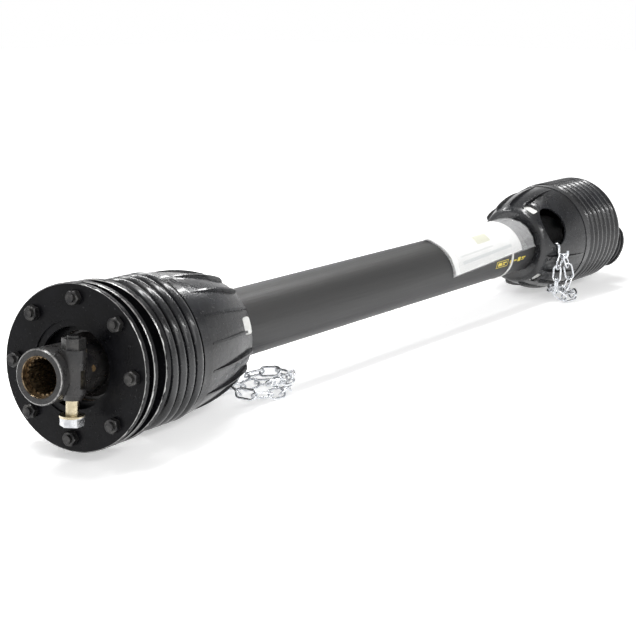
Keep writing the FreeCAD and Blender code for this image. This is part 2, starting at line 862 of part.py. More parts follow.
def lock_spring():
    """Coil spring that pushes the collar home, its wire in small flats."""
    start = collar_start - collar_travel - 1 + lock_wire / 2 + 0.3
    length = collar_start + collar_chamber - lock_wire / 2 - 0.3 - start
    radius = hub_radius + 0.45 + lock_wire / 2
    rings = []
    for step in range(spring_turns * spring_flats + 1):
        turn = 2 * math.pi * step / spring_flats
        out = Vector(0, math.cos(turn), math.sin(turn))
        centre = out * radius + ALONG * (
            start + length * step / (spring_turns * spring_flats))
        rings.append([centre
                      + out * (lock_wire / 2 * math.cos(math.radians(60 * side)))
                      + ALONG * (lock_wire / 2
                                 * math.sin(math.radians(60 * side)))
                      for side in range(6)])
    faces = [Part.Face(Part.makePolygon(ring + [ring[0]]))
             for ring in (rings[0], rings[-1])]
    for one, two in zip(rings, rings[1:]):
        for side in range(6):
            after = (side + 1) % 6
            for corners in ([one[side], one[after], two[after]],
                            [one[side], two[after], two[side]]):
                faces.append(Part.Face(Part.makePolygon(
                    corners + [corners[0]])))
    solid = Part.makeSolid(Part.makeShell(faces))
    if solid.Volume < 0:
        solid.reverse()
    return solid


# Chains: welded links of plain wire, each a solid of its own

def link_path():
    """Centre line of one link, long way along X, round ends."""
    wire = chain_wire / 2
    bend = chain_width / 2 - wire
    straight = (chain_pitch + 2 * chain_slack) / 2 + wire - bend
    points = []
    for end, first in ((1, -90), (-1, 90)):
        for step in range(7):
            turn = math.radians(first + 30 * step)
            points.append(Vector(end * straight + bend * math.cos(turn),
                                 bend * math.sin(turn), 0))
    return points


def wire_link():
    """One link: six flats round the wire, mitred at each bend."""
    centre = link_path()
    count = len(centre)
    rings = []
    for index in range(count):
        before = (centre[index] - centre[index - 1]).normalize()
        after = (centre[(index + 1) % count] - centre[index]).normalize()
        way = (before + after).normalize()
        out = way.cross(UP)
        stretch = 1.0 / math.sqrt((1 + before.dot(after)) / 2)
        ring = []
        for step in range(6):
            turn = math.radians(60 * step)
            ring.append(centre[index]
                        + out * (chain_wire / 2 * stretch * math.cos(turn))
                        + UP * (chain_wire / 2 * math.sin(turn)))
        rings.append(ring)
    faces = []
    for index in range(count):
        one = rings[index]
        two = rings[(index + 1) % count]
        for step in range(6):
            after = (step + 1) % 6
            faces.append(Part.Face(Part.makePolygon(
                [one[step], one[after], two[after], two[step], one[step]])))
    shell = Part.makeShell(faces)
    solid = Part.makeSolid(shell)
    if solid.Volume < 0:
        solid.reverse()
    return solid


def link_frame(start, end, roll):
    """Axes of a link between two joints, its flat turned by roll."""
    along = (end - start).normalize()
    level = UP if abs(along.z) < 0.8 else SIDEWAYS
    side = level.cross(along).normalize()
    rise = along.cross(side)
    turn = math.radians(roll)
    width = side * math.cos(turn) + rise * math.sin(turn)
    return along, width, along.cross(width)


def link_segments(start, end, roll):
    """Straight pieces of a laid link's centre line."""
    along, width, _ = link_frame(start, end, roll)
    middle = (start + end) * 0.5
    points = [middle + along * spot.x + width * spot.y for spot in link_path()]
    return list(zip(points, points[1:] + points[:1]))


def segment_gap(one, two):
    """Least distance between two straight pieces."""
    a, b = one
    c, d = two
    u = b - a
    v = d - c
    w = a - c
    uu, uv, vv = u.dot(u), u.dot(v), v.dot(v)
    uw, vw = u.dot(w), v.dot(w)
    base = uu * vv - uv * uv
    s = 0.0 if base < 1e-9 else min(1.0, max(0.0, (uv * vw - vv * uw) / base))
    t = min(1.0, max(0.0, (uv * s + vw) / vv))
    s = min(1.0, max(0.0, (uv * t - uw) / uu))
    return ((a + u * s) - (c + v * t)).Length


def link_gap(segments, laid):
    """Least distance from a link's wire to those laid and the floor."""
    low = min(spot.z for pair in segments for spot in pair)
    gap = min(4.0, low - floor_level + chain_wire / 2)
    for thicker, old in laid:
        if (old[0][0] - segments[0][0]).Length > 2.2 * chain_pitch:
            continue
        for one in segments:
            for two in old:
                gap = min(gap, segment_gap(one, two) - thicker / 2)
    return gap


def laid_chain(joints, hook):
    """Links from joint to joint, rolled so that they clear each other.

    Several ways of rolling them are followed side by side, and those
    with the widest gaps are kept.
    """
    ways = [(0.0, 0, [(hook_wire - chain_wire, hook)], [])]
    for start, end in zip(joints, joints[1:]):
        grown = []
        for score, roll, laid, gaps in ways:
            for change in (90, 75, 105, 60, 120, 45, 135, 30, 150, 15, 165, 0):
                segments = link_segments(start, end, roll + change)
                gap = link_gap(segments, laid) - chain_wire
                worth = min(gap, 0.5) - abs(change - 90) * 0.0005
                if gap < chain_clear:
                    worth -= 20 * (chain_clear - gap)
                grown.append((score + worth, roll + change,
                              laid + [(0.0, segments)], gaps + [gap]))
        grown.sort(key=lambda way: -way[0])
        ways = grown[:chain_ways]
    _, _, laid, gaps = ways[0]
    chain_gaps.extend([round(gap, 2) for gap in gaps])
    links = []
    for (start, end), (_, segments) in zip(zip(joints, joints[1:]), laid[1:]):
        along = (end - start).normalize()
        across = segments[6][0] - segments[0][0]
        across = (across - along * across.dot(along)).normalize()
        link = turned_to(wire_link(), along, across, along.cross(across))
        link.translate((start + end) * 0.5)
        links.append(link)
    return links


chain_gaps = []


def walk(path, pitch):
    """Joints one pitch apart along a path of short steps."""
    joints = [path[0]]
    for before, after in zip(path, path[1:]):
        if (after - joints[-1]).Length < pitch:
            continue
        low, high = 0.0, 1.0
        for _ in range(30):
            share = (low + high) / 2
            spot = before + (after - before) * share
            if (spot - joints[-1]).Length < pitch:
                low = share
            else:
                high = share
        joints.append(before + (after - before) * high)
    return joints


def smooth_path(corners, step=2.0):
    """Short steps along straight runs between corners."""
    path = [corners[0]]
    for start, end in zip(corners, corners[1:]):
        count = max(1, int((end - start).Length / step))
        for index in range(1, count + 1):
            path.append(start + (end - start) * (index / count))
    return path


def heap(centre, radius, first, turns, hand):
    """Corners of a chain that fell round and round in a heap."""
    corners = []
    count = int(turns * 24)
    bed = floor_level + chain_bed
    for index in range(count + 1):
        way = math.radians(first + hand * 15.0 * index)
        wide = radius * (1 + 0.09 * math.sin(1.7 * index * 0.26))
        corners.append(Vector(centre.x + wide * math.cos(way),
                              centre.y + 0.94 * wide * math.sin(way),
                              bed + heap_rise * index / 24))
    return corners


def hook_frame(place, turn, hand, seam):
    """Lower edge of a pocket, the way down past it and the way out."""
    reach = dome_radius(place, seam) - cone_wall / 2
    from_middle = (seam + dome_length - pocket_from_end - place)
    share = math.sqrt(1 - (from_middle / pocket_half_length) ** 2)
    low = math.radians(turn) + hand * math.asin(
        pocket_half_width * share / reach)
    out = Vector(0, math.cos(low), math.sin(low))
    along = Vector(0, -math.sin(low), math.cos(low)) * hand
    return out * reach, along, out


def s_hook(edge, along, out):
    """Open hook over the wall at edge, the room it needs in the wall,
    its centre line and the lowest point of it."""
    bend = cone_wall / 2 + 0.5 + hook_wire / 2
    inside = edge - out * bend
    outside = edge + out * bend
    far = outside + along * hook_shank
    middle = far + out * hook_bend
    curl = middle + out * hook_bend
    edges = [
        Part.LineSegment(inside + along * 3.0, inside).toShape(),
        Part.Arc(inside, edge - along * bend, outside).toShape(),
        Part.LineSegment(outside, far).toShape(),
        Part.Arc(far, middle + along * hook_bend, curl).toShape(),
        Part.LineSegment(curl, curl - along * 4.0).toShape()]
    path = Part.Wire(edges)
    rods = []
    for radius in (hook_wire / 2, hook_wire / 2 + running_gap):
        start = Part.Wire(Part.Circle(inside + along * 3.0, along,
                                      radius).toShape())
        rods.append(path.makePipeShell([start], True, False))
    spots = []
    for step in range(9):
        turn = math.pi * (step / 8.0)
        spots.append(middle - out * (hook_bend * math.cos(turn))
                     + along * (hook_bend * math.sin(turn)))
    spots = [outside] + spots
    lowest = middle - UP * hook_bend
    return rods[0], rods[1], spots, lowest


def hung_joint(lowest, way):
    """Joint of a link that hangs round the hook's wire and leads way."""
    drop = hook_wire / 2 + 0.35 - chain_slack
    return lowest - Vector(way).normalize() * drop


def near_chain():
    """Hook and chain of the near cone, heaped under the tube."""
    place = near_end - near_hook_from_end
    edge, along, out = hook_frame(place, near_pocket_angle, -1, near_seam)
    edge = edge + ALONG * place
    hook, room, spots, lowest = s_hook(edge, along, out)
    coil = heap(near_heap, near_heap_radius, near_heap_start,
                near_heap_turns, -1)
    foot = Vector(lowest.x + 14, lowest.y - 1,
                  floor_level + chain_width / 2 + 0.4)
    top = hung_joint(lowest, foot - lowest)
    path = smooth_path([top, foot] + coil)
    joints = walk(path, chain_pitch)
    return hook, room, laid_chain(joints, list(zip(spots, spots[1:])))


def far_chain():
    """Hook and chain of the far cone, doubled up, with its heap."""
    local = far_end - far_hook_from_end
    place = cross_spacing - local
    edge, along, out = hook_frame(local, far_pocket_angle, 1, far_seam)
    edge = edge + ALONG * place
    hook, room, spots, lowest = s_hook(edge, along, out)
    bed = floor_level + chain_bed
    side = chain_wire / 2 + hook_side_play
    apart = ALONG * (strand_gap / 2)
    down = UP * -(chain_pitch - 2)
    lift = UP * hook_lift
    first = hung_joint(lowest - out * side, down) + lift
    last = hung_joint(lowest + out * side, down) + lift
    fall = UP * (bed + 8.0 - lowest.z)

    def joints_at(scale):
        coil = heap(far_heap, far_heap_radius * scale, far_heap_start,
                    far_heap_turns, 1)
        path = smooth_path([first, first + down - apart,
                            first + fall - apart] + coil
                           + [last + down + apart, last])
        return walk(path, chain_pitch)

    # The heap is let out until a whole number of links reaches the hook
    low = 1.0
    high = 1.02
    while len(joints_at(high)) == len(joints_at(low)):
        high += 0.02
    for _ in range(20):
        scale = (low + high) / 2
        if len(joints_at(scale)) > len(joints_at(1.0)):
            high = scale
        else:
            low = scale
    joints = joints_at(high)
    return hook, room, laid_chain(joints, list(zip(spots, spots[1:])))


def papers():
    """Bag with the booklet, bent over the tube on its near side."""
    inside = tube_radius + tie_gap + tie_thickness + tie_gap
    sheet = pipe(inside + pouch_thickness, inside, pouch_start,
                 pouch_start + pouch_length)
    return sector(sheet, pouch_high, pouch_low)


def sector(shape, start, end):
    """What lies between two angles round X, +Y being 0 and +Z 90."""
    size = 400.0
    points = [HERE]
    steps = int((end - start) // 30) + 1
    for step in range(steps + 1):
        turn = math.radians(start + (end - start) * step / steps)
        points.append(Vector(0, size * math.cos(turn), size * math.sin(turn)))
    points.append(HERE)
    wedge = Part.Face(Part.makePolygon(points)).extrude(ALONG * 2000)
    wedge.translate(ALONG * -500)
    return shape.common(wedge)


def cable_tie():
    inside = tube_radius + tie_gap
    return pipe(inside + tie_thickness, inside, tie_place - tie_width / 2,
                tie_place + tie_width / 2)


# Places of the assemblies

def outer_place(x, yaw, pitch, reversed_end):
    """Placement of an outer yoke: roll, face the end, pitch, yaw."""
    turn = Rotation(UP, yaw).multiply(Rotation(SIDEWAYS, pitch))
    if reversed_end:
        turn = turn.multiply(Rotation(UP, 180))
    turn = turn.multiply(Rotation(ALONG, 90))
    return Placement(Vector(x, 0, 0), turn)


near_outer = outer_place(0, near_yaw, near_pitch, True)
far_outer = outer_place(cross_spacing, far_yaw, far_pitch, False)
near_inner = Placement(HERE, Rotation())
far_inner = Placement(Vector(cross_spacing, 0, 0), Rotation(UP, 180))
near_spider = Placement(HERE, Rotation(UP, near_yaw))
far_spider = Placement(Vector(cross_spacing, 0, 0), Rotation(UP, far_yaw))


def put(shape, place):
    copy = shape.copy()
    copy.Placement = place.multiply(copy.Placement)
    return copy


def group(shapes):
    return shapes[0] if len(shapes) == 1 else Part.makeCompound(shapes)


def build():
    """Every piece in the working frame, by node name."""
    pieces = {}

    def add(name, shapes, place):
        if not isinstance(shapes, list):
            shapes = [shapes]
        pieces[name] = group([put(shape, place) for shape in shapes])

    hook, near_room, links = near_chain()
    add("near_chain_hook", hook, near_inner)
    add("near_chain", links, near_inner)
    hook, far_room, links = far_chain()
    add("far_chain_hook", hook, near_inner)
    add("far_chain", links, near_inner)
    print("chain gaps", chain_gaps)
    far_profile = profile_radius - profile_wall - profile_play
    far_lobe = profile_lobe - profile_wall - profile_play
    add("near_inner_yoke", inner_yoke(near_hub_radius, near_end,
                                      profile_radius, profile_lobe), near_inner)
    add("near_inner_cups", bearing_cups(UP), near_inner)
    add("near_inner_circlips", circlips(UP, ALONG), near_inner)
    add("near_roll_pin", roll_pin(near_hub_radius, near_end), near_inner)
    tube_start = near_end + 4 - socket_depth + 0.5
    add("outer_profile_tube",
        profile_tube(profile_radius, profile_lobe, tube_start,
                     cross_spacing - far_end - 12)
        .cut(pin_hole(near_hub_radius, near_end)), near_inner)
    add("near_cross", cross_piece(), near_spider)
    add("near_nipple", grease_nipple(), near_spider)
    add("near_outer_cups", bearing_cups(UP), near_outer)
    add("near_outer_circlips", circlips(UP, ALONG * -1), near_outer)
    add("flange_yoke", flange_yoke(), near_outer)
    add("hub_bush", hub_bush(), near_outer)
    front = flange_back + flange_thickness
    add("friction_linings", [lining(front), lining(driven_front + flat_gap)],
        near_outer)
    add("pressure_plate", pressure_plate(), near_outer)
    add("disc_spring", disc_spring(), near_outer)
    add("cover_plate", cover_plate(), near_outer)
    add("clutch_bolts", clutch_bolts(), near_outer)
    add("clutch_nuts", clutch_nuts(), near_outer)
    add("clutch_hub", clutch_hub(), near_outer)
    add("clamp_bolt", clamp_bolt(), near_outer)
    add("clamp_nut", clamp_nut(), near_outer)

    bellows, dome = guard_cone(
        near_mouth, near_seam, near_folds, near_fold_radius,
        tube_radius + press_gap, tube_radius + press_gap, near_pocket_angle,
        near_window_angle)
    add("near_bellows", bellows, near_inner)
    add("near_cone", dome.cut(near_room), near_inner)
    add("near_slide_ring", slide_ring(near_hub_radius, near_end, near_seam,
                                      near_window_angle), near_inner)
    outer_end = cross_spacing - far_end + flange_depth / 2 - 0.4
    add("outer_guard_tube",
        pipe(tube_radius, tube_radius - tube_wall,
             near_end - flange_depth + 0.2, outer_end), near_inner)
    add("document_pouch", papers(), near_inner)
    add("cable_tie", cable_tie(), near_inner)

    add("far_inner_yoke", inner_yoke(far_hub_radius, far_end, far_profile,
                                     far_lobe), far_inner)
    add("far_inner_cups", bearing_cups(UP), far_inner)
    add("far_inner_circlips", circlips(UP, ALONG), far_inner)
    add("far_roll_pin", roll_pin(far_hub_radius, far_end), far_inner)
    add("inner_profile_tube",
        profile_tube(far_profile, far_lobe, far_end + 4 - socket_depth + 0.5,
                     cross_spacing - near_end - 12)
        .cut(pin_hole(far_hub_radius, far_end)), far_inner)
    bellows, dome = guard_cone(
        far_mouth, far_seam, far_folds, far_fold_radius,
        inner_tube_radius + press_gap, tube_radius + tube_play,
        180.0 - far_pocket_angle, 180.0 - far_window_angle)
    add("far_bellows", bellows, far_inner)
    add("far_cone", put(dome, far_inner).cut(far_room), near_inner)
    add("far_slide_ring", slide_ring(far_hub_radius, far_end, far_seam,
                                     180.0 - far_window_angle), far_inner)
    add("inner_guard_tube",
        pipe(inner_tube_radius, inner_tube_radius - inner_tube_wall,
             far_end - flange_depth + 0.2, cross_spacing - near_end - 12),
        far_inner)
    add("far_cross", cross_piece(), far_spider)
    add("far_nipple", grease_nipple(), far_spider)
    add("far_outer_cups", bearing_cups(UP), far_outer)
    add("far_outer_circlips", circlips(UP, ALONG * -1), far_outer)
    add("quick_yoke", quick_yoke(), far_outer)
    add("lock_balls", lock_balls(), far_outer)
    add("lock_collar", lock_collar(), far_outer)
    add("lock_ring", lock_ring(), far_outer)
    add("lock_spring", lock_spring(), far_outer)
    return pieces


def underside_middle(pieces):
    """Middle of the underside of the box round every piece."""
    box = FreeCAD.BoundBox()
    for shape in pieces.values():
        box.add(shape.optimalBoundingBox(False, False))
    return Vector(box.Center.x, box.Center.y, box.ZMin)


def main():
    pieces = build()
    middle = underside_middle(pieces)
    print("moved by", [round(-value, 4) for value in middle])
    for shape in pieces.values():
        shape.translate(middle * -1)
    os.makedirs("parts", exist_ok=True)
    for name, shape in pieces.items():
        shape.exportStep("parts/" + name + ".step")
        kind = "ok" if shape.isValid() else "INVALID"
        print(name, len(shape.Solids), kind, round(shape.Volume / 1000, 2))


if __name__ == "__main__":
    main()
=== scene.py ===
# %% [markdown]
# # A PTO drive shaft, dressed over its solids
# This shaft carries a tractor's power to a machine. The solids that came out of CAD are exact, so
# they stay where they are and only get their finish here. What they can't show is made here:
# round wire links, the bag with its booklet and the marks on the tube.

# %% Load the solids
import json
import math
import bpy
import bmesh
import numpy as np
from mathutils import Matrix, Vector, noise


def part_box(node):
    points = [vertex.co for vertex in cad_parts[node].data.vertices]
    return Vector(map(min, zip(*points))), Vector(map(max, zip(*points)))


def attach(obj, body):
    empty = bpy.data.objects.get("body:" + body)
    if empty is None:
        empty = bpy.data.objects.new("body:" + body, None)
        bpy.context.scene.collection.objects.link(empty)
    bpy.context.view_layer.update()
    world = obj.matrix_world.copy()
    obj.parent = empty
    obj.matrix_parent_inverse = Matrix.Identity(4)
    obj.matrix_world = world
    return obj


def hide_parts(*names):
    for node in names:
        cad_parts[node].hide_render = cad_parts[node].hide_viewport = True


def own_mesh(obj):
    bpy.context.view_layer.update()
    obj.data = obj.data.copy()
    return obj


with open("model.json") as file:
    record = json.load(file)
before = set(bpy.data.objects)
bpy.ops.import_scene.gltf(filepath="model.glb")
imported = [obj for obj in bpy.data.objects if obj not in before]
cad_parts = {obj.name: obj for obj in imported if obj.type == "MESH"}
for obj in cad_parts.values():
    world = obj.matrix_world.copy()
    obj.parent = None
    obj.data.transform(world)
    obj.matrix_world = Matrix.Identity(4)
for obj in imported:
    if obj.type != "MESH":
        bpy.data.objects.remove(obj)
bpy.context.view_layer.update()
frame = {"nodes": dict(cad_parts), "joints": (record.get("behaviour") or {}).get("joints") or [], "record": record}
nodes = frame["nodes"]
joint = {entry["name"]: entry for entry in frame["joints"]}
near_cross = Vector(joint["near_yaw"]["pos_m"])
far_cross = Vector(joint["far_yaw"]["pos_m"])
mounts = {entry["name"]: entry for entry in frame["record"]["mounts"]}
clutch_way = Vector(mounts["hub_lead_in"]["axis"]).normalized()
yoke_way = Vector(mounts["yoke_lead_in"]["axis"]).normalized()
print("nodes", len(nodes), "crosses", near_cross, far_cross)

# %% [markdown]
# ## Camera
# The photograph looks down the shaft from its clutch end. The lens and the place were worked out
# from the round plates and the tube's two edges. The picture is taken to be 636 by 626.

# %% Camera at the photograph's place
lens_length = 65.1
camera_place = (-1.0915, -0.8496, 0.4151)
forward = Vector((0.7228, 0.6391, -0.2622)).normalized()
right = Vector((0.662, -0.749, 0.0)).normalized()
above = right.cross(forward)
scene = bpy.context.scene
scene.view_settings.view_transform = "Standard"
lens = bpy.data.cameras.new("photo camera")
lens.sensor_width = 36.0
lens.sensor_fit = "HORIZONTAL"
lens.lens = lens_length
lens.clip_start = 0.01
camera = bpy.data.objects.new("photo camera", lens)
scene.collection.objects.link(camera)
turn = Matrix((right, above, -forward)).transposed().to_4x4()
camera.matrix_world = Matrix.Translation(camera_place) @ turn
scene.camera = camera
print("camera at", camera.location)

# %% [markdown]
# ## Floor and light
# Black plastic shows its shape only by what it mirrors. An evenly white room would turn it grey,
# so the room is white low down, where the camera looks, and grey overhead. Long narrow lamps
# above it draw the bright streaks along the tube and round the folds. The floor is a stage,
# which means it is not part of the object.

# %% Surroundings
room_light = 0.62
ceiling_light = 0.30
world = bpy.data.worlds.new("pale room")
scene.world = world
world.use_nodes = True
room = world.node_tree
room.nodes.clear()
rays = room.nodes.new("ShaderNodeLightPath")
seen = room.nodes.new("ShaderNodeMath")
seen.operation = "MAXIMUM"
room.links.new(rays.outputs["Is Camera Ray"], seen.inputs[0])
room.links.new(rays.outputs["Is Transmission Ray"], seen.inputs[1])
shown = room.nodes.new("ShaderNodeMath")
shown.operation = "MAXIMUM"
room.links.new(seen.outputs[0], shown.inputs[0])
room.links.new(rays.outputs["Is Glossy Ray"], shown.inputs[1])
level = room.nodes.new("ShaderNodeMapRange")
level.inputs["To Min"].default_value = room_light
level.inputs["To Max"].default_value = 1.0
room.links.new(shown.outputs[0], level.inputs["Value"])
sky_way = room.nodes.new("ShaderNodeSeparateXYZ")
room.links.new(room.nodes.new("ShaderNodeTexCoord").outputs["Generated"], sky_way.inputs[0])
ceiling = room.nodes.new("ShaderNodeMapRange")
ceiling.interpolation_type = "SMOOTHSTEP"
ceiling.inputs["From Min"].default_value = 0.16
ceiling.inputs["From Max"].default_value = 0.60
ceiling.inputs["To Min"].default_value = 1.0
ceiling.inputs["To Max"].default_value = ceiling_light
room.links.new(sky_way.outputs["Z"], ceiling.inputs["Value"])
strength = room.nodes.new("ShaderNodeMath")
strength.operation = "MULTIPLY"
room.links.new(level.outputs[0], strength.inputs[0])
room.links.new(ceiling.outputs[0], strength.inputs[1])
glow = room.nodes.new("ShaderNodeBackground")
glow.inputs["Color"].default_value = (1, 1, 1, 1)
room.links.new(strength.outputs[0], glow.inputs["Strength"])
room.links.new(glow.outputs[0],
               room.nodes.new("ShaderNodeOutputWorld").inputs["Surface"])
print("room light", room_light, "ceiling", ceiling_light)


# %% Lamps
def soft_lamp(name, place, target, size, power):
    """An oblong soft lamp that faces target, its long side level."""
    light = bpy.data.lights.new(name, "AREA")
    light.shape = "RECTANGLE"
    light.size, light.size_y = size
    light.energy = power
    lamp = bpy.data.objects.new(name, light)
    scene.collection.objects.link(lamp)
    lamp.location = place
    way = Vector(target) - Vector(place)
    lamp.rotation_euler = way.to_track_quat("-Z", "Y").to_euler()


soft_lamp("overhead", (-0.1, 0.3, 1.9), (0, 0, 0.05), (1.6, 1.6), 7)
soft_lamp("camera side", (-1.3, -1.5, 1.0), (-0.2, 0, 0.05), (1.0, 1.0), 6)
soft_lamp("long strip", (-0.05, 0.15, 0.95), (-0.05, 0, 0.08), (1.6, 0.09), 11)
soft_lamp("front strip", (-0.25, -1.0, 0.85), (-0.05, 0, 0.08), (1.2, 0.05), 5)
soft_lamp("back strip", (0.1, 0.80, 0.70), (0.1, 0, 0.10), (1.3, 0.07), 4)

# %% [markdown]
# The floor glows a little by itself, more and more away from the object, so it fades to plain
# white without a horizon. The object's shadow stays, because near it the glow is weak.

# %% Floor
floor_half = 8.0
floor_drop = 0.0006
fade_start = 0.7
fade_end = 2.2
plane = bpy.data.meshes.new("floor")
plane.from_pydata([(-floor_half, -floor_half, 0), (floor_half, -floor_half, 0),
                   (floor_half, floor_half, 0), (-floor_half, floor_half, 0)],
                  [], [(0, 1, 2, 3)])
floor = bpy.data.objects.new("floor", plane)
scene.collection.objects.link(floor)
floor.location.z = -floor_drop
pale = bpy.data.materials.new("pale floor")
pale.use_nodes = True
shade = pale.node_tree.nodes["Principled BSDF"]
shade.inputs["Base Color"].default_value = (0.93, 0.93, 0.93, 1)
shade.inputs["Roughness"].default_value = 0.9
shade.inputs["Emission Color"].default_value = (1, 1, 1, 1)
path = pale.node_tree.nodes.new("ShaderNodeLightPath")
lit = pale.node_tree.nodes.new("ShaderNodeMath")
lit.operation = "MAXIMUM"
pale.node_tree.links.new(path.outputs["Is Camera Ray"], lit.inputs[0])
pale.node_tree.links.new(path.outputs["Is Glossy Ray"], lit.inputs[1])
spot = pale.node_tree.nodes.new("ShaderNodeTexCoord")
away = pale.node_tree.nodes.new("ShaderNodeVectorMath")
away.operation = "LENGTH"
pale.node_tree.links.new(spot.outputs["Object"], away.inputs[0])
whiten = pale.node_tree.nodes.new("ShaderNodeMapRange")
whiten.inputs["From Min"].default_value = fade_start
whiten.inputs["From Max"].default_value = fade_end
whiten.inputs["To Min"].default_value = 0.45
whiten.inputs["To Max"].default_value = 1.0
pale.node_tree.links.new(away.outputs["Value"], whiten.inputs["Value"])
floor_glow = pale.node_tree.nodes.new("ShaderNodeMath")
floor_glow.operation = "MULTIPLY"
pale.node_tree.links.new(lit.outputs[0], floor_glow.inputs[0])
pale.node_tree.links.new(whiten.outputs[0], floor_glow.inputs[1])
pale.node_tree.links.new(floor_glow.outputs[0], shade.inputs["Emission Strength"])
plane.materials.append(pale)
print("floor", 2 * floor_half, "m wide")

# %% [markdown]
# ## Finishes
# Every finish starts from the same few parts: a noise in the object's own coordinates that makes
# the colour and the gloss uneven, and a finer one that lifts the surface a little. Reading object
# coordinates keeps the pattern fixed to the metal when a joint moves.

# %% Helpers for a finish
def new_finish(name):
    """A material with its shader and its object coordinates."""
    made = bpy.data.materials.new(name)
    made.use_nodes = True
    tree = made.node_tree
    shader = tree.nodes["Principled BSDF"]
    place = tree.nodes.new("ShaderNodeTexCoord").outputs["Object"]
    return made, tree, shader, place


def patches(tree, place, scale, low, high, detail=4.0, stretch=None):
    """Soft noise turned into values between low and high."""
    if stretch:
        squeeze = tree.nodes.new("ShaderNodeMapping")
        squeeze.inputs["Scale"].default_value = stretch
        tree.links.new(place, squeeze.inputs["Vector"])
        place = squeeze.outputs[0]
    cloud = tree.nodes.new("ShaderNodeTexNoise")
    cloud.inputs["Scale"].default_value = scale
    cloud.inputs["Detail"].default_value = detail
    tree.links.new(place, cloud.inputs["Vector"])
    spread = tree.nodes.new("ShaderNodeMapRange")
    spread.inputs["From Min"].default_value = 0.3
    spread.inputs["From Max"].default_value = 0.7
    spread.inputs["To Min"].default_value = low
    spread.inputs["To Max"].default_value = high
    tree.links.new(cloud.outputs["Fac"], spread.inputs["Value"])
    return spread.outputs[0]


def between(tree, share, dark, light):
    """Colour between two, which may be colours or sockets."""
    mix = tree.nodes.new("ShaderNodeMix")
    mix.data_type = "RGBA"
    tree.links.new(share, mix.inputs["Factor"])
    for colour, socket in ((dark, mix.inputs["A"]), (light, mix.inputs["B"])):
        if isinstance(colour, tuple):
            socket.default_value = (*colour, 1)
        else:
            tree.links.new(colour, socket)
    return mix.outputs["Result"]


def lift(tree, shader, place, scale, height, stretch=None, reach=0.0004):
    """Fine unevenness of the surface."""
    rise = patches(tree, place, scale, 0, 1, 6.0, stretch)
    bump = tree.nodes.new("ShaderNodeBump")
    bump.inputs["Strength"].default_value = height
    bump.inputs["Distance"].default_value = reach
    tree.links.new(rise, bump.inputs["Height"])
    tree.links.new(bump.outputs[0], shader.inputs["Normal"])


def finish(name, dark, light, rough, metal=0.0, patch=40, grain=500, height=0.2,
           stretch=None, coat=0.0, gloss=0.5):
    """A plain uneven finish: two colours, two roughnesses, a fine grain."""
    made, tree, shader, place = new_finish(name)
    share = patches(tree, place, patch, 0, 1, 5.0, stretch)
    tree.links.new(between(tree, share, dark, light), shader.inputs["Base Color"])
    tree.links.new(patches(tree, place, patch * 2.3, rough[0], rough[1], 4.0, stretch),
                   shader.inputs["Roughness"])
    shader.inputs["Metallic"].default_value = metal
    shader.inputs["Specular IOR Level"].default_value = gloss
    if coat:
        shader.inputs["Coat Weight"].default_value = coat
        shader.inputs["Coat Roughness"].default_value = 0.12
    lift(tree, shader, place, grain, height, stretch)
    return made


# %% Steels and platings
bright_steel = finish("ground steel", (0.42, 0.41, 0.40), (0.62, 0.61, 0.59), (0.22, 0.40), 1.0)
drawn_steel = finish("drawn oiled tube", (0.27, 0.26, 0.25), (0.46, 0.45, 0.44), (0.25, 0.45),
                     1.0, 30, 300, 0.25, (0.08, 1, 1))
zinc = finish("bright zinc", (0.50, 0.52, 0.55), (0.80, 0.81, 0.83), (0.14, 0.34), 1.0, 160, 900)
spring_steel = finish("blued spring steel", (0.10, 0.10, 0.11), (0.24, 0.24, 0.25),
                      (0.25, 0.45), 1.0, 90)
bronze = finish("sintered bronze", (0.36, 0.22, 0.10), (0.60, 0.42, 0.20), (0.4, 0.6), 1.0, 200)
black_bolt = finish("blackened bolts", (0.022, 0.022, 0.024), (0.085, 0.083, 0.080),
                    (0.26, 0.46), 0.8, 170, 800, 0.3)
black_paint = finish("black paint on forgings", (0.010, 0.010, 0.011), (0.035, 0.035, 0.037),
                     (0.30, 0.55), 0.0, 60, 260, 0.55, None, 0.0, 0.25)
lining_grey = finish("pressed lining", (0.06, 0.045, 0.035), (0.22, 0.16, 0.10),
                     (0.75, 0.95), 0.0, 700, 900, 0.8)
print("steels made")

# %% [markdown]
# ## A painted highlight along each plate's rim
# The clutch's plates are black. A thin line of bright steel is painted along each plate's front
# corner, to stand for the highlight there. Two distances from the clutch's own axis place it: how
# far out a point lies, and how far along. So the line follows the corner, a little unevenly, and
# turns with the plate.

# %% Distances from an axis
def axis_distances(tree, place, centre, way):
    """How far along and how far out from an axis a point lies."""
    shift = tree.nodes.new("ShaderNodeVectorMath")
    shift.operation = "SUBTRACT"
    shift.inputs[1].default_value = centre
    tree.links.new(place, shift.inputs[0])
    along = tree.nodes.new("ShaderNodeVectorMath")
    along.operation = "DOT_PRODUCT"
    along.inputs[1].default_value = way
    tree.links.new(shift.outputs[0], along.inputs[0])
    foot = tree.nodes.new("ShaderNodeVectorMath")
    foot.operation = "SCALE"
    foot.inputs[0].default_value = way
    tree.links.new(along.outputs["Value"], foot.inputs["Scale"])
    side = tree.nodes.new("ShaderNodeVectorMath")
    side.operation = "SUBTRACT"
    tree.links.new(shift.outputs[0], side.inputs[0])
    tree.links.new(foot.outputs[0], side.inputs[1])
    length = tree.nodes.new("ShaderNodeVectorMath")
    length.operation = "LENGTH"
    tree.links.new(side.outputs[0], length.inputs[0])
    return along.outputs["Value"], length.outputs["Value"]


def step_at(tree, value, start, end):
    """0 below start, 1 above end."""
    ramp = tree.nodes.new("ShaderNodeMapRange")
    ramp.inputs["From Min"].default_value = start
    ramp.inputs["From Max"].default_value = end
    tree.links.new(value, ramp.inputs["Value"])
    return ramp.outputs[0]


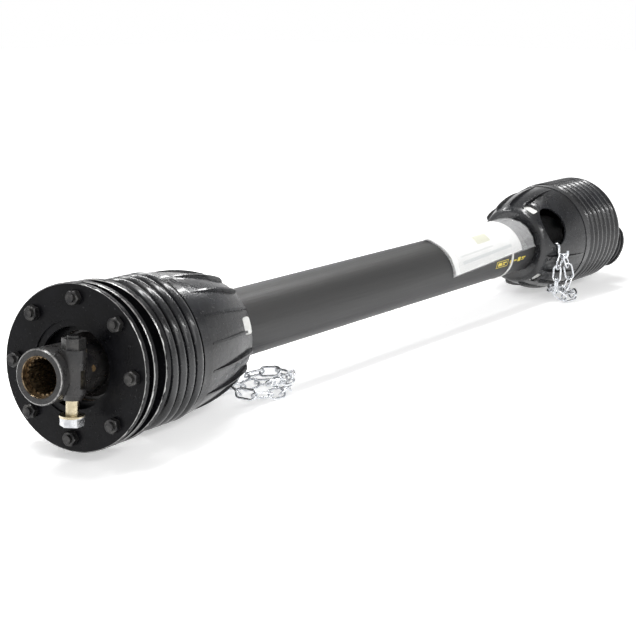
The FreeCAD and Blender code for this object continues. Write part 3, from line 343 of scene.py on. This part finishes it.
def combined(tree, kind, a, b):
    """Two values joined by a Math node."""
    math_node = tree.nodes.new("ShaderNodeMath")
    math_node.operation = kind
    for index, value in enumerate((a, b)):
        if isinstance(value, (int, float)):
            math_node.inputs[index].default_value = value
        else:
            tree.links.new(value, math_node.inputs[index])
    return math_node.outputs[0]


# %% Clutch plates
def paint_with_painted_corner_highlight(name, rim_radius, fronts, width):
    """Black paint, with a painted highlight of bright steel in a line at each front corner."""
    made, tree, shader, place = new_finish(name)
    along, out = axis_distances(tree, place, near_cross, clutch_way)
    # Noise that makes the painted highlight's edge uneven.
    highlight_wobble = patches(tree, place, 160, -0.0005, 0.0005)
    wobbled_along = combined(tree, "ADD", along, highlight_wobble)
    lines = None
    for front in fronts:
        rise = step_at(tree, wobbled_along, front - width, front - width + 0.0004)
        fall = step_at(tree, along, front + 0.0004, front + 0.0006)
        line = combined(tree, "SUBTRACT", rise, fall)
        lines = line if lines is None else combined(tree, "MAXIMUM", lines, line)
    # Painted highlight: bright metallic steel along each front corner, past the rim radius.
    bare = combined(tree, "MULTIPLY", lines, step_at(tree, out, rim_radius, rim_radius + 0.0003))
    scuff = step_at(tree, patches(tree, place, 330, 0, 1, 8.0, (0.4, 1, 1)), 0.90, 1.0)
    share = patches(tree, place, 45, 0, 1)
    black = between(tree, share, (0.0015, 0.0015, 0.002), (0.006, 0.006, 0.0075))
    scuffed = between(tree, combined(tree, "MULTIPLY", scuff, 0.5), black, (0.055, 0.055, 0.058))
    steel = between(tree, patches(tree, place, 90, 0, 1), (0.16, 0.16, 0.16), (0.50, 0.50, 0.49))
    tree.links.new(between(tree, bare, scuffed, steel), shader.inputs["Base Color"])
    tree.links.new(bare, shader.inputs["Metallic"])
    tree.links.new(patches(tree, place, 90, 0.24, 0.40), shader.inputs["Roughness"])
    shader.inputs["Specular IOR Level"].default_value = 0.13
    lift(tree, shader, place, 420, 0.22)
    return made


# Where the painted highlight lies on the plates, and how wide it is.
painted_highlight_radius = 0.0784
plate_fronts = (0.054, 0.074, 0.088)
painted_highlight_width = 0.0010
plate_paint_with_painted_highlight = paint_with_painted_corner_highlight("plate paint with painted corner highlight", painted_highlight_radius, plate_fronts,
                           painted_highlight_width)
print("plate fronts", plate_fronts, "from the near cross")

# %% [markdown]
# ## Splined hub
# Outside, the hub is painted black, with a thin bright line round its nose and brown patches
# where the paint has rubbed through. The teeth inside were cut after painting, so they are bare
# steel under oil and a first film of rust.

# %% Hub finish
hub_radius = 0.026
bore_start = 0.0191
clutch_nose = 0.138
yoke_nose = 0.102


def splined_hub(name, centre, way, nose):
    """Black outside, a bright nose ring, brown bare teeth inside."""
    made, tree, shader, place = new_finish(name)
    along, out = axis_distances(tree, place, centre, way)
    rough_edge = patches(tree, place, 300, -0.0006, 0.0006)
    worn = combined(tree, "ADD", along, rough_edge)
    face = step_at(tree, worn, nose - 0.0011, nose - 0.0003)
    inside = combined(tree, "SUBTRACT", 1.0,
                      step_at(tree, out, bore_start, bore_start + 0.0003))
    rim = combined(tree, "MULTIPLY", face,
                   step_at(tree, out, hub_radius - 0.0019, hub_radius - 0.0013))
    black = between(tree, patches(tree, place, 70, 0, 1),
                    (0.008, 0.008, 0.009), (0.034, 0.032, 0.031))
    through = step_at(tree, patches(tree, place, 95, 0, 1, 7.0), 0.90, 1.0)
    paint = between(tree, combined(tree, "MULTIPLY", through, 0.7), black, (0.20, 0.13, 0.06))
    rust = between(tree, patches(tree, place, 230, 0, 1, 6.0),
                   (0.030, 0.018, 0.011), (0.36, 0.26, 0.15))
    ground = between(tree, inside, paint, rust)
    tree.links.new(between(tree, rim, ground, (0.36, 0.355, 0.35)), shader.inputs["Base Color"])
    tree.links.new(combined(tree, "MAXIMUM", rim, combined(tree, "MULTIPLY", inside, 0.85)),
                   shader.inputs["Metallic"])
    tree.links.new(patches(tree, place, 150, 0.22, 0.44), shader.inputs["Roughness"])
    shader.inputs["Specular IOR Level"].default_value = 0.5
    lift(tree, shader, place, 300, 0.4)
    return made


hub_finish = splined_hub("clutch hub", near_cross, clutch_way, clutch_nose)
yoke_finish = splined_hub("quick yoke", far_cross, yoke_way, yoke_nose)
print("noses", clutch_nose, "and", yoke_nose, "from their crosses")

# %% [markdown]
# ## Yellow-passivated bolt
# The clamp bolt is plated. Its shank keeps the golden tint, the forged head under it was wiped to
# plain silver, and the thread that stands out of the nut is black with oil. So the colours follow
# the height above the bolt's lower end.

# %% Clamp bolt
head_top = 0.0100
thread_start = 0.060


def bolt_finish(name, node):
    """Silver head at the lower end, golden shank, dark thread at the top."""
    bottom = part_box(node)[0].z
    made, tree, shader, place = new_finish(name)
    height = tree.nodes.new("ShaderNodeSeparateXYZ")
    tree.links.new(place, height.inputs[0])
    gold = step_at(tree, height.outputs["Z"], bottom + head_top, bottom + head_top + 0.0006)
    silver = between(tree, patches(tree, place, 120, 0, 1),
                     (0.40, 0.41, 0.43), (0.68, 0.69, 0.70))
    golden = between(tree, patches(tree, place, 90, 0, 1),
                     (0.42, 0.36, 0.24), (0.70, 0.63, 0.47))
    plated = between(tree, gold, silver, golden)
    blackened = step_at(tree, height.outputs["Z"], bottom + thread_start,
                        bottom + thread_start + 0.001)
    tree.links.new(between(tree, blackened, plated, (0.05, 0.05, 0.05)),
                   shader.inputs["Base Color"])
    shader.inputs["Metallic"].default_value = 1.0
    tree.links.new(patches(tree, place, 200, 0.2, 0.38), shader.inputs["Roughness"])
    lift(tree, shader, place, 700, 0.2)
    return made


bolt_plating = bolt_finish("clamp bolt plating", "clamp_bolt")
print("bolt's head top", head_top, "above its lower end")

# %% [markdown]
# ## Plastics
# The cones are moulded from a glossy black plastic that shows flow marks and a few specks of
# dust. The tubes are extruded and duller, with faint lines along their length.

# %% Cone, tube and nylon
def cone_plastic(name):
    """Glossy bluish black, a little dusty."""
    made, tree, shader, place = new_finish(name)
    dusty = patches(tree, place, 26, 0, 1, 7.0)
    base = between(tree, dusty, (0.0035, 0.0035, 0.004), (0.015, 0.016, 0.019))
    speck = step_at(tree, patches(tree, place, 420, 0, 1, 2.0), 0.93, 1.0)
    tree.links.new(between(tree, speck, base, (0.06, 0.06, 0.06)),
                   shader.inputs["Base Color"])
    tree.links.new(patches(tree, place, 60, 0.18, 0.36, 6.0), shader.inputs["Roughness"])
    shader.inputs["Specular IOR Level"].default_value = 0.45
    shader.inputs["Coat Weight"].default_value = 0.4
    shader.inputs["Coat Roughness"].default_value = 0.08
    lift(tree, shader, place, 130, 0.20, None, 0.0008)
    return made


near_plastic = cone_plastic("near cone plastic")
far_plastic = cone_plastic("far cone plastic")
tube_plastic = finish("extruded tube", (0.018, 0.018, 0.019), (0.042, 0.041, 0.040),
                      (0.38, 0.54), 0.0, 22, 420, 0.30, (0.03, 1, 1), 0.0, 0.5)
nylon = finish("white nylon", (0.74, 0.74, 0.71), (0.90, 0.90, 0.88), (0.35, 0.5),
               0.0, 120, 400, 0.1)
collar_plastic = finish("collar", (0.010, 0.010, 0.011), (0.030, 0.030, 0.032), (0.25, 0.42),
                        0.0, 90, 500, 0.25, None, 0.3)
print("plastics made")

# %% Give every solid its finish
finish_of = {
    "near_inner_yoke": black_paint, "near_inner_cups": bright_steel,
    "near_inner_circlips": spring_steel, "near_roll_pin": spring_steel,
    "outer_profile_tube": drawn_steel, "near_cross": bright_steel, "near_nipple": zinc,
    "near_outer_cups": bright_steel, "near_outer_circlips": spring_steel,
    "flange_yoke": plate_paint_with_painted_highlight, "hub_bush": bronze, "friction_linings": lining_grey,
    "pressure_plate": plate_paint_with_painted_highlight, "disc_spring": spring_steel, "cover_plate": plate_paint_with_painted_highlight,
    "clutch_bolts": black_bolt, "clutch_nuts": black_bolt, "clutch_hub": hub_finish,
    "clamp_bolt": bolt_plating, "clamp_nut": black_bolt, "near_cone": near_plastic,
    "near_bellows": near_plastic, "far_bellows": far_plastic,
    "near_slide_ring": nylon, "outer_guard_tube": tube_plastic, "cable_tie": nylon,
    "near_chain_hook": zinc, "far_inner_yoke": black_paint, "far_inner_cups": bright_steel,
    "far_inner_circlips": spring_steel, "far_roll_pin": spring_steel,
    "inner_profile_tube": drawn_steel, "far_cone": far_plastic, "far_slide_ring": nylon,
    "inner_guard_tube": tube_plastic, "far_cross": bright_steel, "far_nipple": zinc,
    "far_outer_cups": bright_steel, "far_outer_circlips": spring_steel,
    "quick_yoke": yoke_finish, "lock_balls": bright_steel, "lock_collar": collar_plastic,
    "lock_ring": spring_steel, "lock_spring": spring_steel, "far_chain_hook": zinc,
}
for name, made in finish_of.items():
    skin = nodes[name].data
    skin.materials.clear()
    skin.materials.append(made)
    for face in skin.polygons:
        face.material_index = 0
print("finished", len(finish_of), "solids")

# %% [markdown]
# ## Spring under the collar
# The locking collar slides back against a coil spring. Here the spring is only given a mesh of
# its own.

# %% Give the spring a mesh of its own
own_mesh(nodes["lock_spring"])

# %% [markdown]
# ## Chains
# A link is one wire bent to an oval and welded shut. The CAD links lie in the right places but
# their wire has six flats. So each CAD link tells where it is and how it is turned, and Geometry
# Nodes put a round-wire link there, all from one small tree.

# %% Read where the links lie
def islands(node):
    """The separate solids of a node, each as an array of its corners."""
    work = bmesh.new()
    work.from_mesh(nodes[node].data)
    bmesh.ops.remove_doubles(work, verts=work.verts, dist=1e-6)
    work.verts.ensure_lookup_table()
    seen_verts = set()
    found = []
    for first in work.verts:
        if first.index in seen_verts:
            continue
        to_visit = [first]
        seen_verts.add(first.index)
        member = []
        while to_visit:
            vert = to_visit.pop()
            member.append(vert.co.copy())
            for edge in vert.link_edges:
                other = edge.other_vert(vert)
                if other.index not in seen_verts:
                    seen_verts.add(other.index)
                    to_visit.append(other)
        found.append(np.array(member))
    work.free()
    return found


def link_turn(corners):
    """Turn of a flat oval from its longest and its thinnest way."""
    centre = corners.mean(0)
    _, ways = np.linalg.eigh(np.cov((corners - centre).T))
    long_way = Vector(ways[:, 2])
    thin_way = Vector(ways[:, 0])
    across = thin_way.cross(long_way)
    turn = Matrix((long_way, across, thin_way)).transposed()
    return Vector(centre), turn.to_euler()


# %% Start a tree
def socket_inputs(tree, modifier, values):
    """Sets a modifier's inputs by the tree's own identifiers."""
    for item in tree.interface.items_tree:
        if item.item_type == "SOCKET" and item.in_out == "INPUT" and item.name in values:
            modifier[item.identifier] = values[item.name]


def new_tree(name, sizes):
    """A geometry tree with its input and output and named sizes."""
    tree = bpy.data.node_groups.new(name, "GeometryNodeTree")
    tree.interface.new_socket("Geometry", in_out="INPUT", socket_type="NodeSocketGeometry")
    tree.interface.new_socket("Geometry", in_out="OUTPUT", socket_type="NodeSocketGeometry")
    for size, kind in sizes:
        tree.interface.new_socket(size, in_out="INPUT", socket_type=kind)
    return tree, tree.nodes.new("NodeGroupInput"), tree.nodes.new("NodeGroupOutput")


# %% [markdown]
# The tree draws one link and copies it. The wire's path is an oblong with round ends. Halfway
# along one of its sides the wire is a little thicker, where the real link is welded.

# %% The link's path
path_points = 40
weld_half = 0.0016
weld_swell = 1.16
links_tree, given, result = new_tree("welded links", [
    ("Length", "NodeSocketFloat"), ("Width", "NodeSocketFloat"), ("Bend", "NodeSocketFloat"),
    ("Wire", "NodeSocketFloat"), ("Finish", "NodeSocketMaterial")])
oblong = links_tree.nodes.new("GeometryNodeCurvePrimitiveQuadrilateral")
links_tree.links.new(given.outputs["Length"], oblong.inputs["Width"])
links_tree.links.new(given.outputs["Width"], oblong.inputs["Height"])
rounded = links_tree.nodes.new("GeometryNodeFilletCurve")
rounded.mode = "POLY"
rounded.inputs["Count"].default_value = 7
links_tree.links.new(oblong.outputs[0], rounded.inputs["Curve"])
links_tree.links.new(given.outputs["Bend"], rounded.inputs["Radius"])
even = links_tree.nodes.new("GeometryNodeResampleCurve")
even.inputs["Count"].default_value = path_points
links_tree.links.new(rounded.outputs[0], even.inputs["Curve"])
where = links_tree.nodes.new("GeometryNodeInputPosition")
parts = links_tree.nodes.new("ShaderNodeSeparateXYZ")
links_tree.links.new(where.outputs[0], parts.inputs[0])
from_middle = links_tree.nodes.new("ShaderNodeMath")
from_middle.operation = "ABSOLUTE"
links_tree.links.new(parts.outputs["X"], from_middle.inputs[0])
weld = links_tree.nodes.new("ShaderNodeMapRange")
weld.inputs["From Min"].default_value = 0.0
weld.inputs["From Max"].default_value = weld_half
weld.inputs["To Min"].default_value = weld_swell
weld.inputs["To Max"].default_value = 1.0
links_tree.links.new(from_middle.outputs[0], weld.inputs["Value"])
one_side = links_tree.nodes.new("FunctionNodeCompare")
links_tree.links.new(parts.outputs["Y"], one_side.inputs[0])
swell = links_tree.nodes.new("GeometryNodeSetCurveRadius")
links_tree.links.new(even.outputs[0], swell.inputs["Curve"])
links_tree.links.new(one_side.outputs[0], swell.inputs["Selection"])
links_tree.links.new(weld.outputs[0], swell.inputs["Radius"])
print("weld swells to", weld_swell)

# %% The wire and its copies
wire_circle = links_tree.nodes.new("GeometryNodeCurvePrimitiveCircle")
wire_circle.inputs["Resolution"].default_value = 10
links_tree.links.new(given.outputs["Wire"], wire_circle.inputs["Radius"])
bent = links_tree.nodes.new("GeometryNodeCurveToMesh")
links_tree.links.new(swell.outputs[0], bent.inputs["Curve"])
links_tree.links.new(wire_circle.outputs[0], bent.inputs["Profile Curve"])
round_wire = links_tree.nodes.new("GeometryNodeSetShadeSmooth")
links_tree.links.new(bent.outputs[0], round_wire.inputs[0])
turned = links_tree.nodes.new("GeometryNodeInputNamedAttribute")
turned.data_type = "FLOAT_VECTOR"
turned.inputs["Name"].default_value = "turn"
angles = links_tree.nodes.new("FunctionNodeEulerToRotation")
links_tree.links.new(turned.outputs["Attribute"], angles.inputs[0])
copies = links_tree.nodes.new("GeometryNodeInstanceOnPoints")
links_tree.links.new(given.outputs["Geometry"], copies.inputs["Points"])
links_tree.links.new(round_wire.outputs[0], copies.inputs["Instance"])
links_tree.links.new(angles.outputs[0], copies.inputs["Rotation"])
solid_links = links_tree.nodes.new("GeometryNodeRealizeInstances")
links_tree.links.new(copies.outputs[0], solid_links.inputs[0])
plated = links_tree.nodes.new("GeometryNodeSetMaterial")
links_tree.links.new(solid_links.outputs[0], plated.inputs["Geometry"])
links_tree.links.new(given.outputs["Finish"], plated.inputs["Material"])
links_tree.links.new(plated.outputs[0], result.inputs["Geometry"])
print("tree of", len(links_tree.nodes), "nodes")

# %% Grow a plain mesh from a tree
def grown(name, tree, points, values, turns=None):
    """Points put through a tree, as a plain mesh object."""
    seed_mesh = bpy.data.meshes.new(name + " points")
    seed_mesh.from_pydata([tuple(point) for point in points], [], [])
    if turns:
        field = seed_mesh.attributes.new("turn", "FLOAT_VECTOR", "POINT")
        for index, turn in enumerate(turns):
            field.data[index].vector = tuple(turn)
    seed = bpy.data.objects.new(name + " points", seed_mesh)
    scene.collection.objects.link(seed)
    maker = seed.modifiers.new("grow", "NODES")
    maker.node_group = tree
    socket_inputs(tree, maker, values)
    graph = bpy.context.evaluated_depsgraph_get()
    mesh = bpy.data.meshes.new_from_object(seed.evaluated_get(graph), depsgraph=graph)
    mesh.name = name
    bpy.data.objects.remove(seed)
    piece = bpy.data.objects.new(name, mesh)
    scene.collection.objects.link(piece)
    return piece


# %% Both chains
wire = 0.0028
link_length = 0.0230
link_width = 0.0112
link_bend = link_width / 2 - 0.00005
for node, body in (("near_chain", "near_guard"), ("far_chain", "far_guard")):
    spots = []
    turns = []
    for corners in islands(node):
        spot, turn = link_turn(corners)
        spots.append(spot)
        turns.append(turn)
    chain = grown(node + "_links", links_tree, spots,
                  {"Length": link_length, "Width": link_width, "Bend": link_bend,
                   "Wire": wire / 2, "Finish": zinc}, turns)
    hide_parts(node)
    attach(chain, body)
    print(node, len(spots), "links,", len(chain.data.polygons), "faces")

# %% [markdown]
# ## Bag and booklet
# A clear bag with the papers lies over the tube, held by a white tie. The booklet is a thin stack
# that bends with the tube. The bag is one film round it: flat where paper fills it, crinkled where
# it is empty. Both are grids whose points are told how far round the tube and how far along it
# they lie, which is simpler than a simulation for something this stiff.

# %% Where the bag lies
bag_low, bag_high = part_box("document_pouch")
axis_y = near_cross.y
axis_z = near_cross.z
tube_radius = 0.0375


def over_tube(along, angle, height):
    """Point at an angle round the tube and a height over its skin."""
    turn = math.radians(angle)
    out = tube_radius + height
    return Vector((along, axis_y + out * math.cos(turn), axis_z + out * math.sin(turn)))


def facing_out(mesh):
    """Turns every face of a closed mesh outwards."""
    work = bmesh.new()
    work.from_mesh(mesh)
    bmesh.ops.recalc_face_normals(work, faces=work.faces)
    work.to_mesh(mesh)
    work.free()


def shell_over_tube(name, columns, rows, top, bottom):
    """Closed thin shell between two height fields over the same grid."""
    verts = []
    for field in (top, bottom):
        for i in range(columns + 1):
            for j in range(rows + 1):
                verts.append(field(i / columns, j / rows))
    half_count = (columns + 1) * (rows + 1)

    def at(i, j, layer):
        return layer * half_count + i * (rows + 1) + j

    faces = []
    for i in range(columns):
        for j in range(rows):
            faces.append((at(i, j, 0), at(i, j + 1, 0), at(i + 1, j + 1, 0), at(i + 1, j, 0)))
            faces.append((at(i, j, 1), at(i + 1, j, 1), at(i + 1, j + 1, 1), at(i, j + 1, 1)))
    for i in range(columns):
        faces.append((at(i, 0, 0), at(i + 1, 0, 0), at(i + 1, 0, 1), at(i, 0, 1)))
        faces.append((at(i, rows, 1), at(i + 1, rows, 1), at(i + 1, rows, 0), at(i, rows, 0)))
    for j in range(rows):
        faces.append((at(0, j, 1), at(0, j + 1, 1), at(0, j + 1, 0), at(0, j, 0)))
        faces.append((at(columns, j, 0), at(columns, j + 1, 0), at(columns, j + 1, 1),
                      at(columns, j, 1)))
    mesh = bpy.data.meshes.new(name)
    mesh.from_pydata([tuple(v) for v in verts], [], faces)
    grid = mesh.uv_layers.new(name="sheet")
    for loop in mesh.loops:
        index = loop.vertex_index % half_count
        grid.data[loop.index].uv = (index // (rows + 1) / columns, index % (rows + 1) / rows)
    mesh.update()
    facing_out(mesh)
    mesh.polygons.foreach_set("use_smooth", [True] * len(mesh.polygons))
    piece = bpy.data.objects.new(name, mesh)
    scene.collection.objects.link(piece)
    return piece


# %% The booklet, angles in degrees round the tube
bag_length = bag_high.x - bag_low.x
bag_start = 75.0
bag_end = 182.0
skew = 16.0
book_start = 78.0
book_end = 178.5
book_length = 0.158
book_inset = 0.003
book_share = 0.83
book_under = 0.0014
book_over = 0.0031


def askew(u, v):
    """The bag lies a little askew: its front corner hangs lower."""
    return skew * (0.5 - u) * v


def slid(u, v):
    """Its top edge is pushed towards the clutch, and more so in front."""
    return 0.010 * (v - 0.55) - 0.006 * (1 - v) * (1 - u)


def edge_lift(u, v):
    """The free corner at the back stands a little proud."""
    return 0.004 * max(0.0, 1 - u / 0.22) * max(0.0, 1 - v / 0.30)


def page(height):
    """A face of the booklet, softly waved, at a height over the tube."""
    def spot(u, v):
        along = bag_low.x + book_inset + book_length * u + slid(u * book_share, v)
        angle = book_start + (book_end - book_start) * v + askew(u * book_share, v)
        wave = 0.0004 * noise.noise(Vector((u * 4, v * 4, 1.0)))
        return over_tube(along, angle, height + wave + edge_lift(u, v))
    return spot


booklet = shell_over_tube("booklet", 48, 40, page(book_over), page(book_under))
print("booklet", len(booklet.data.polygons), "faces")

# %% [markdown]
# The film is creased. Creases of film are sharp ridges with flat facets between them, so the
# height comes from a ridged noise: it is weak over the booklet and strong at the empty end.

# %% The bag's film
def crease(u, v):
    """Height of the film's creases over the sheet."""
    empty = min(1.0, max(0.0, (u - 0.80) / 0.06))
    spot = Vector((u * 9, v * 5, 4.0))
    ridge = 1 - abs(noise.noise(spot)) * 2.2
    fine = 1 - abs(noise.noise(spot * 2.7)) * 2.0
    over_book = 0.00035 * ridge + 0.00015 * fine
    over_empty = 0.0016 * ridge + 0.0008 * fine
    return over_book * (1 - empty) + over_empty * empty


def in_bag(u, v, height):
    """Point of the bag at a height over the tube."""
    along = bag_low.x + bag_length * u + slid(u, v)
    angle = bag_start + (bag_end - bag_start) * v + askew(u, v)
    return over_tube(along, angle, height + edge_lift(u, v))


def film_top(u, v):
    """The film over the booklet, lower past its end and at the rim."""
    rim = min(1.0, 12 * min(u, 1 - u, v, 1 - v))
    past_book = min(1.0, max(0.0, (u - book_share) / 0.08))
    full = 0.0034 - 0.0016 * past_book
    return in_bag(u, v, 0.0012 + (full - 0.0010) * rim + crease(u, v))


def film_bottom(u, v):
    """The film on the tube's skin."""
    return in_bag(u, v, 0.0006)


bag = shell_over_tube("clear_bag", 90, 56, film_top, film_bottom)
print("film", len(bag.data.polygons), "faces")

# %% [markdown]
# The paper is white, with a few pale fields of colour that follow the sheet. So they are placed
# by the sheet's own UV map. The film over it is nearly clear, and shows by its glints.

# %% Paper
paper, tree, shader, place = new_finish("booklet paper")
sheet_place = tree.nodes.new("ShaderNodeTexCoord").outputs["UV"]
split = tree.nodes.new("ShaderNodeSeparateXYZ")
tree.links.new(sheet_place, split.inputs[0])


def band(value, low, high, soft=0.004):
    """1 between low and high, 0 outside."""
    rise = step_at(tree, value, low - soft, low + soft)
    fall = combined(tree, "SUBTRACT", 1.0, step_at(tree, value, high - soft, high + soft))
    return combined(tree, "MULTIPLY", rise, fall)


across = split.outputs["X"]
down = split.outputs["Y"]
blank = combined(tree, "MULTIPLY", band(across, 0.42, 0.62), band(down, 0.42, 0.60))
stripe = combined(tree, "MULTIPLY", band(across, 0.12, 0.86), band(down, 0.80, 0.86))
second = combined(tree, "MULTIPLY", band(across, 0.12, 0.60), band(down, 0.70, 0.73))
paper_white = between(tree, patches(tree, place, 35, 0, 1), (0.80, 0.80, 0.79),
                      (0.90, 0.90, 0.89))
with_blank = between(tree, blank, paper_white, (0.66, 0.66, 0.52))
with_stripe = between(tree, stripe, with_blank, (0.68, 0.70, 0.70))
tree.links.new(between(tree, second, with_stripe, (0.72, 0.73, 0.72)),
               shader.inputs["Base Color"])
shader.inputs["Roughness"].default_value = 0.55
lift(tree, shader, place, 800, 0.12)
booklet.data.materials.append(paper)
print("paper made")

# %% Film
film_cover = 0.22
film, tree, shader, place = new_finish("clear film")
tree.links.new(between(tree, patches(tree, place, 60, 0, 1), (0.90, 0.91, 0.92),
                       (1.0, 1.0, 1.0)), shader.inputs["Base Color"])
tree.links.new(patches(tree, place, 140, 0.06, 0.22), shader.inputs["Roughness"])
shader.inputs["Alpha"].default_value = film_cover
shader.inputs["Coat Weight"].default_value = 0.6
shader.inputs["Coat Roughness"].default_value = 0.05
lift(tree, shader, place, 260, 0.35)
bag.data.materials.append(film)

# %% Put the bag in the place of its solid
for piece in (booklet, bag):
    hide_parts("document_pouch")
    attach(piece, "near_guard")

# %% [markdown]
# ## Printed marks
# The tube carries a line of yellow frames and bars beside the bag. Ink is far thinner than
# anything that can be modelled, so each mark is a thin patch bent over the tube, a tenth of a
# millimetre proud of it.

# %% A mark bent over the tube
ink = finish("yellow ink", (0.70, 0.55, 0.05), (0.88, 0.72, 0.12), (0.4, 0.6),
             0.0, 300, 700, 0.1)
ink_top = 0.00012
ink_foot = 0.00002


def mark_patch(verts, faces, start, end, low, high):
    """One patch between two places along the tube and two angles."""
    steps = 6
    first = len(verts)
    for height in (ink_top, ink_foot):
        for along in (start, end):
            for step in range(steps + 1):
                verts.append(tuple(over_tube(along, low + (high - low) * step / steps, height)))
    row = steps + 1
    for step in range(steps):
        faces.append((first + step, first + step + 1, first + row + step + 1, first + row + step))
        a = first + 2 * row + step
        faces.append((a, a + row, a + row + 1, a + 1))
    for side in (0, 1):
        a = first + side * row
        for step in range(steps):
            ends = (a + step, a + step + 1, a + 2 * row + step + 1, a + 2 * row + step)
            faces.append(ends if side else ends[::-1])
    for step in (0, steps):
        ends = (first + step, first + row + step, first + 3 * row + step, first + 2 * row + step)
        faces.append(ends if step == 0 else ends[::-1])


# %% [markdown]
# Each mark is given by where it starts along the tube, its length, and its two angles round the
# tube, counted from the line's own corner. The first four are the frame's sides.

# %% Marks on the tube
marks_before_end = 0.088
mark_start = bag_high.x - marks_before_end
mark_top = 186.0
verts = []
faces = []
for start, length, low, high in (
        (0.000, 0.0010, 0, 15), (0.027, 0.0010, 0, 15), (0.001, 0.026, 0, 1.2),
        (0.001, 0.026, 13.8, 15), (0.004, 0.009, 4, 11), (0.015, 0.009, 4, 7),
        (0.015, 0.006, 8.6, 11), (0.033, 0.003, 4, 11), (0.038, 0.003, 4, 11),
        (0.043, 0.007, 6, 9), (0.053, 0.007, 3, 12), (0.063, 0.009, 4, 7),
        (0.063, 0.006, 9, 11)):
    mark_patch(verts, faces, mark_start + start, mark_start + start + length,
               mark_top + low, mark_top + high)
mesh = bpy.data.meshes.new("printed_marks")
mesh.from_pydata(verts, [], faces)
mesh.materials.append(ink)
facing_out(mesh)
marks = bpy.data.objects.new("printed_marks", mesh)
scene.collection.objects.link(marks)
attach(marks, "near_guard")
print("marks", len(faces), "faces")

# %% Update the scene
bpy.context.view_layer.update()
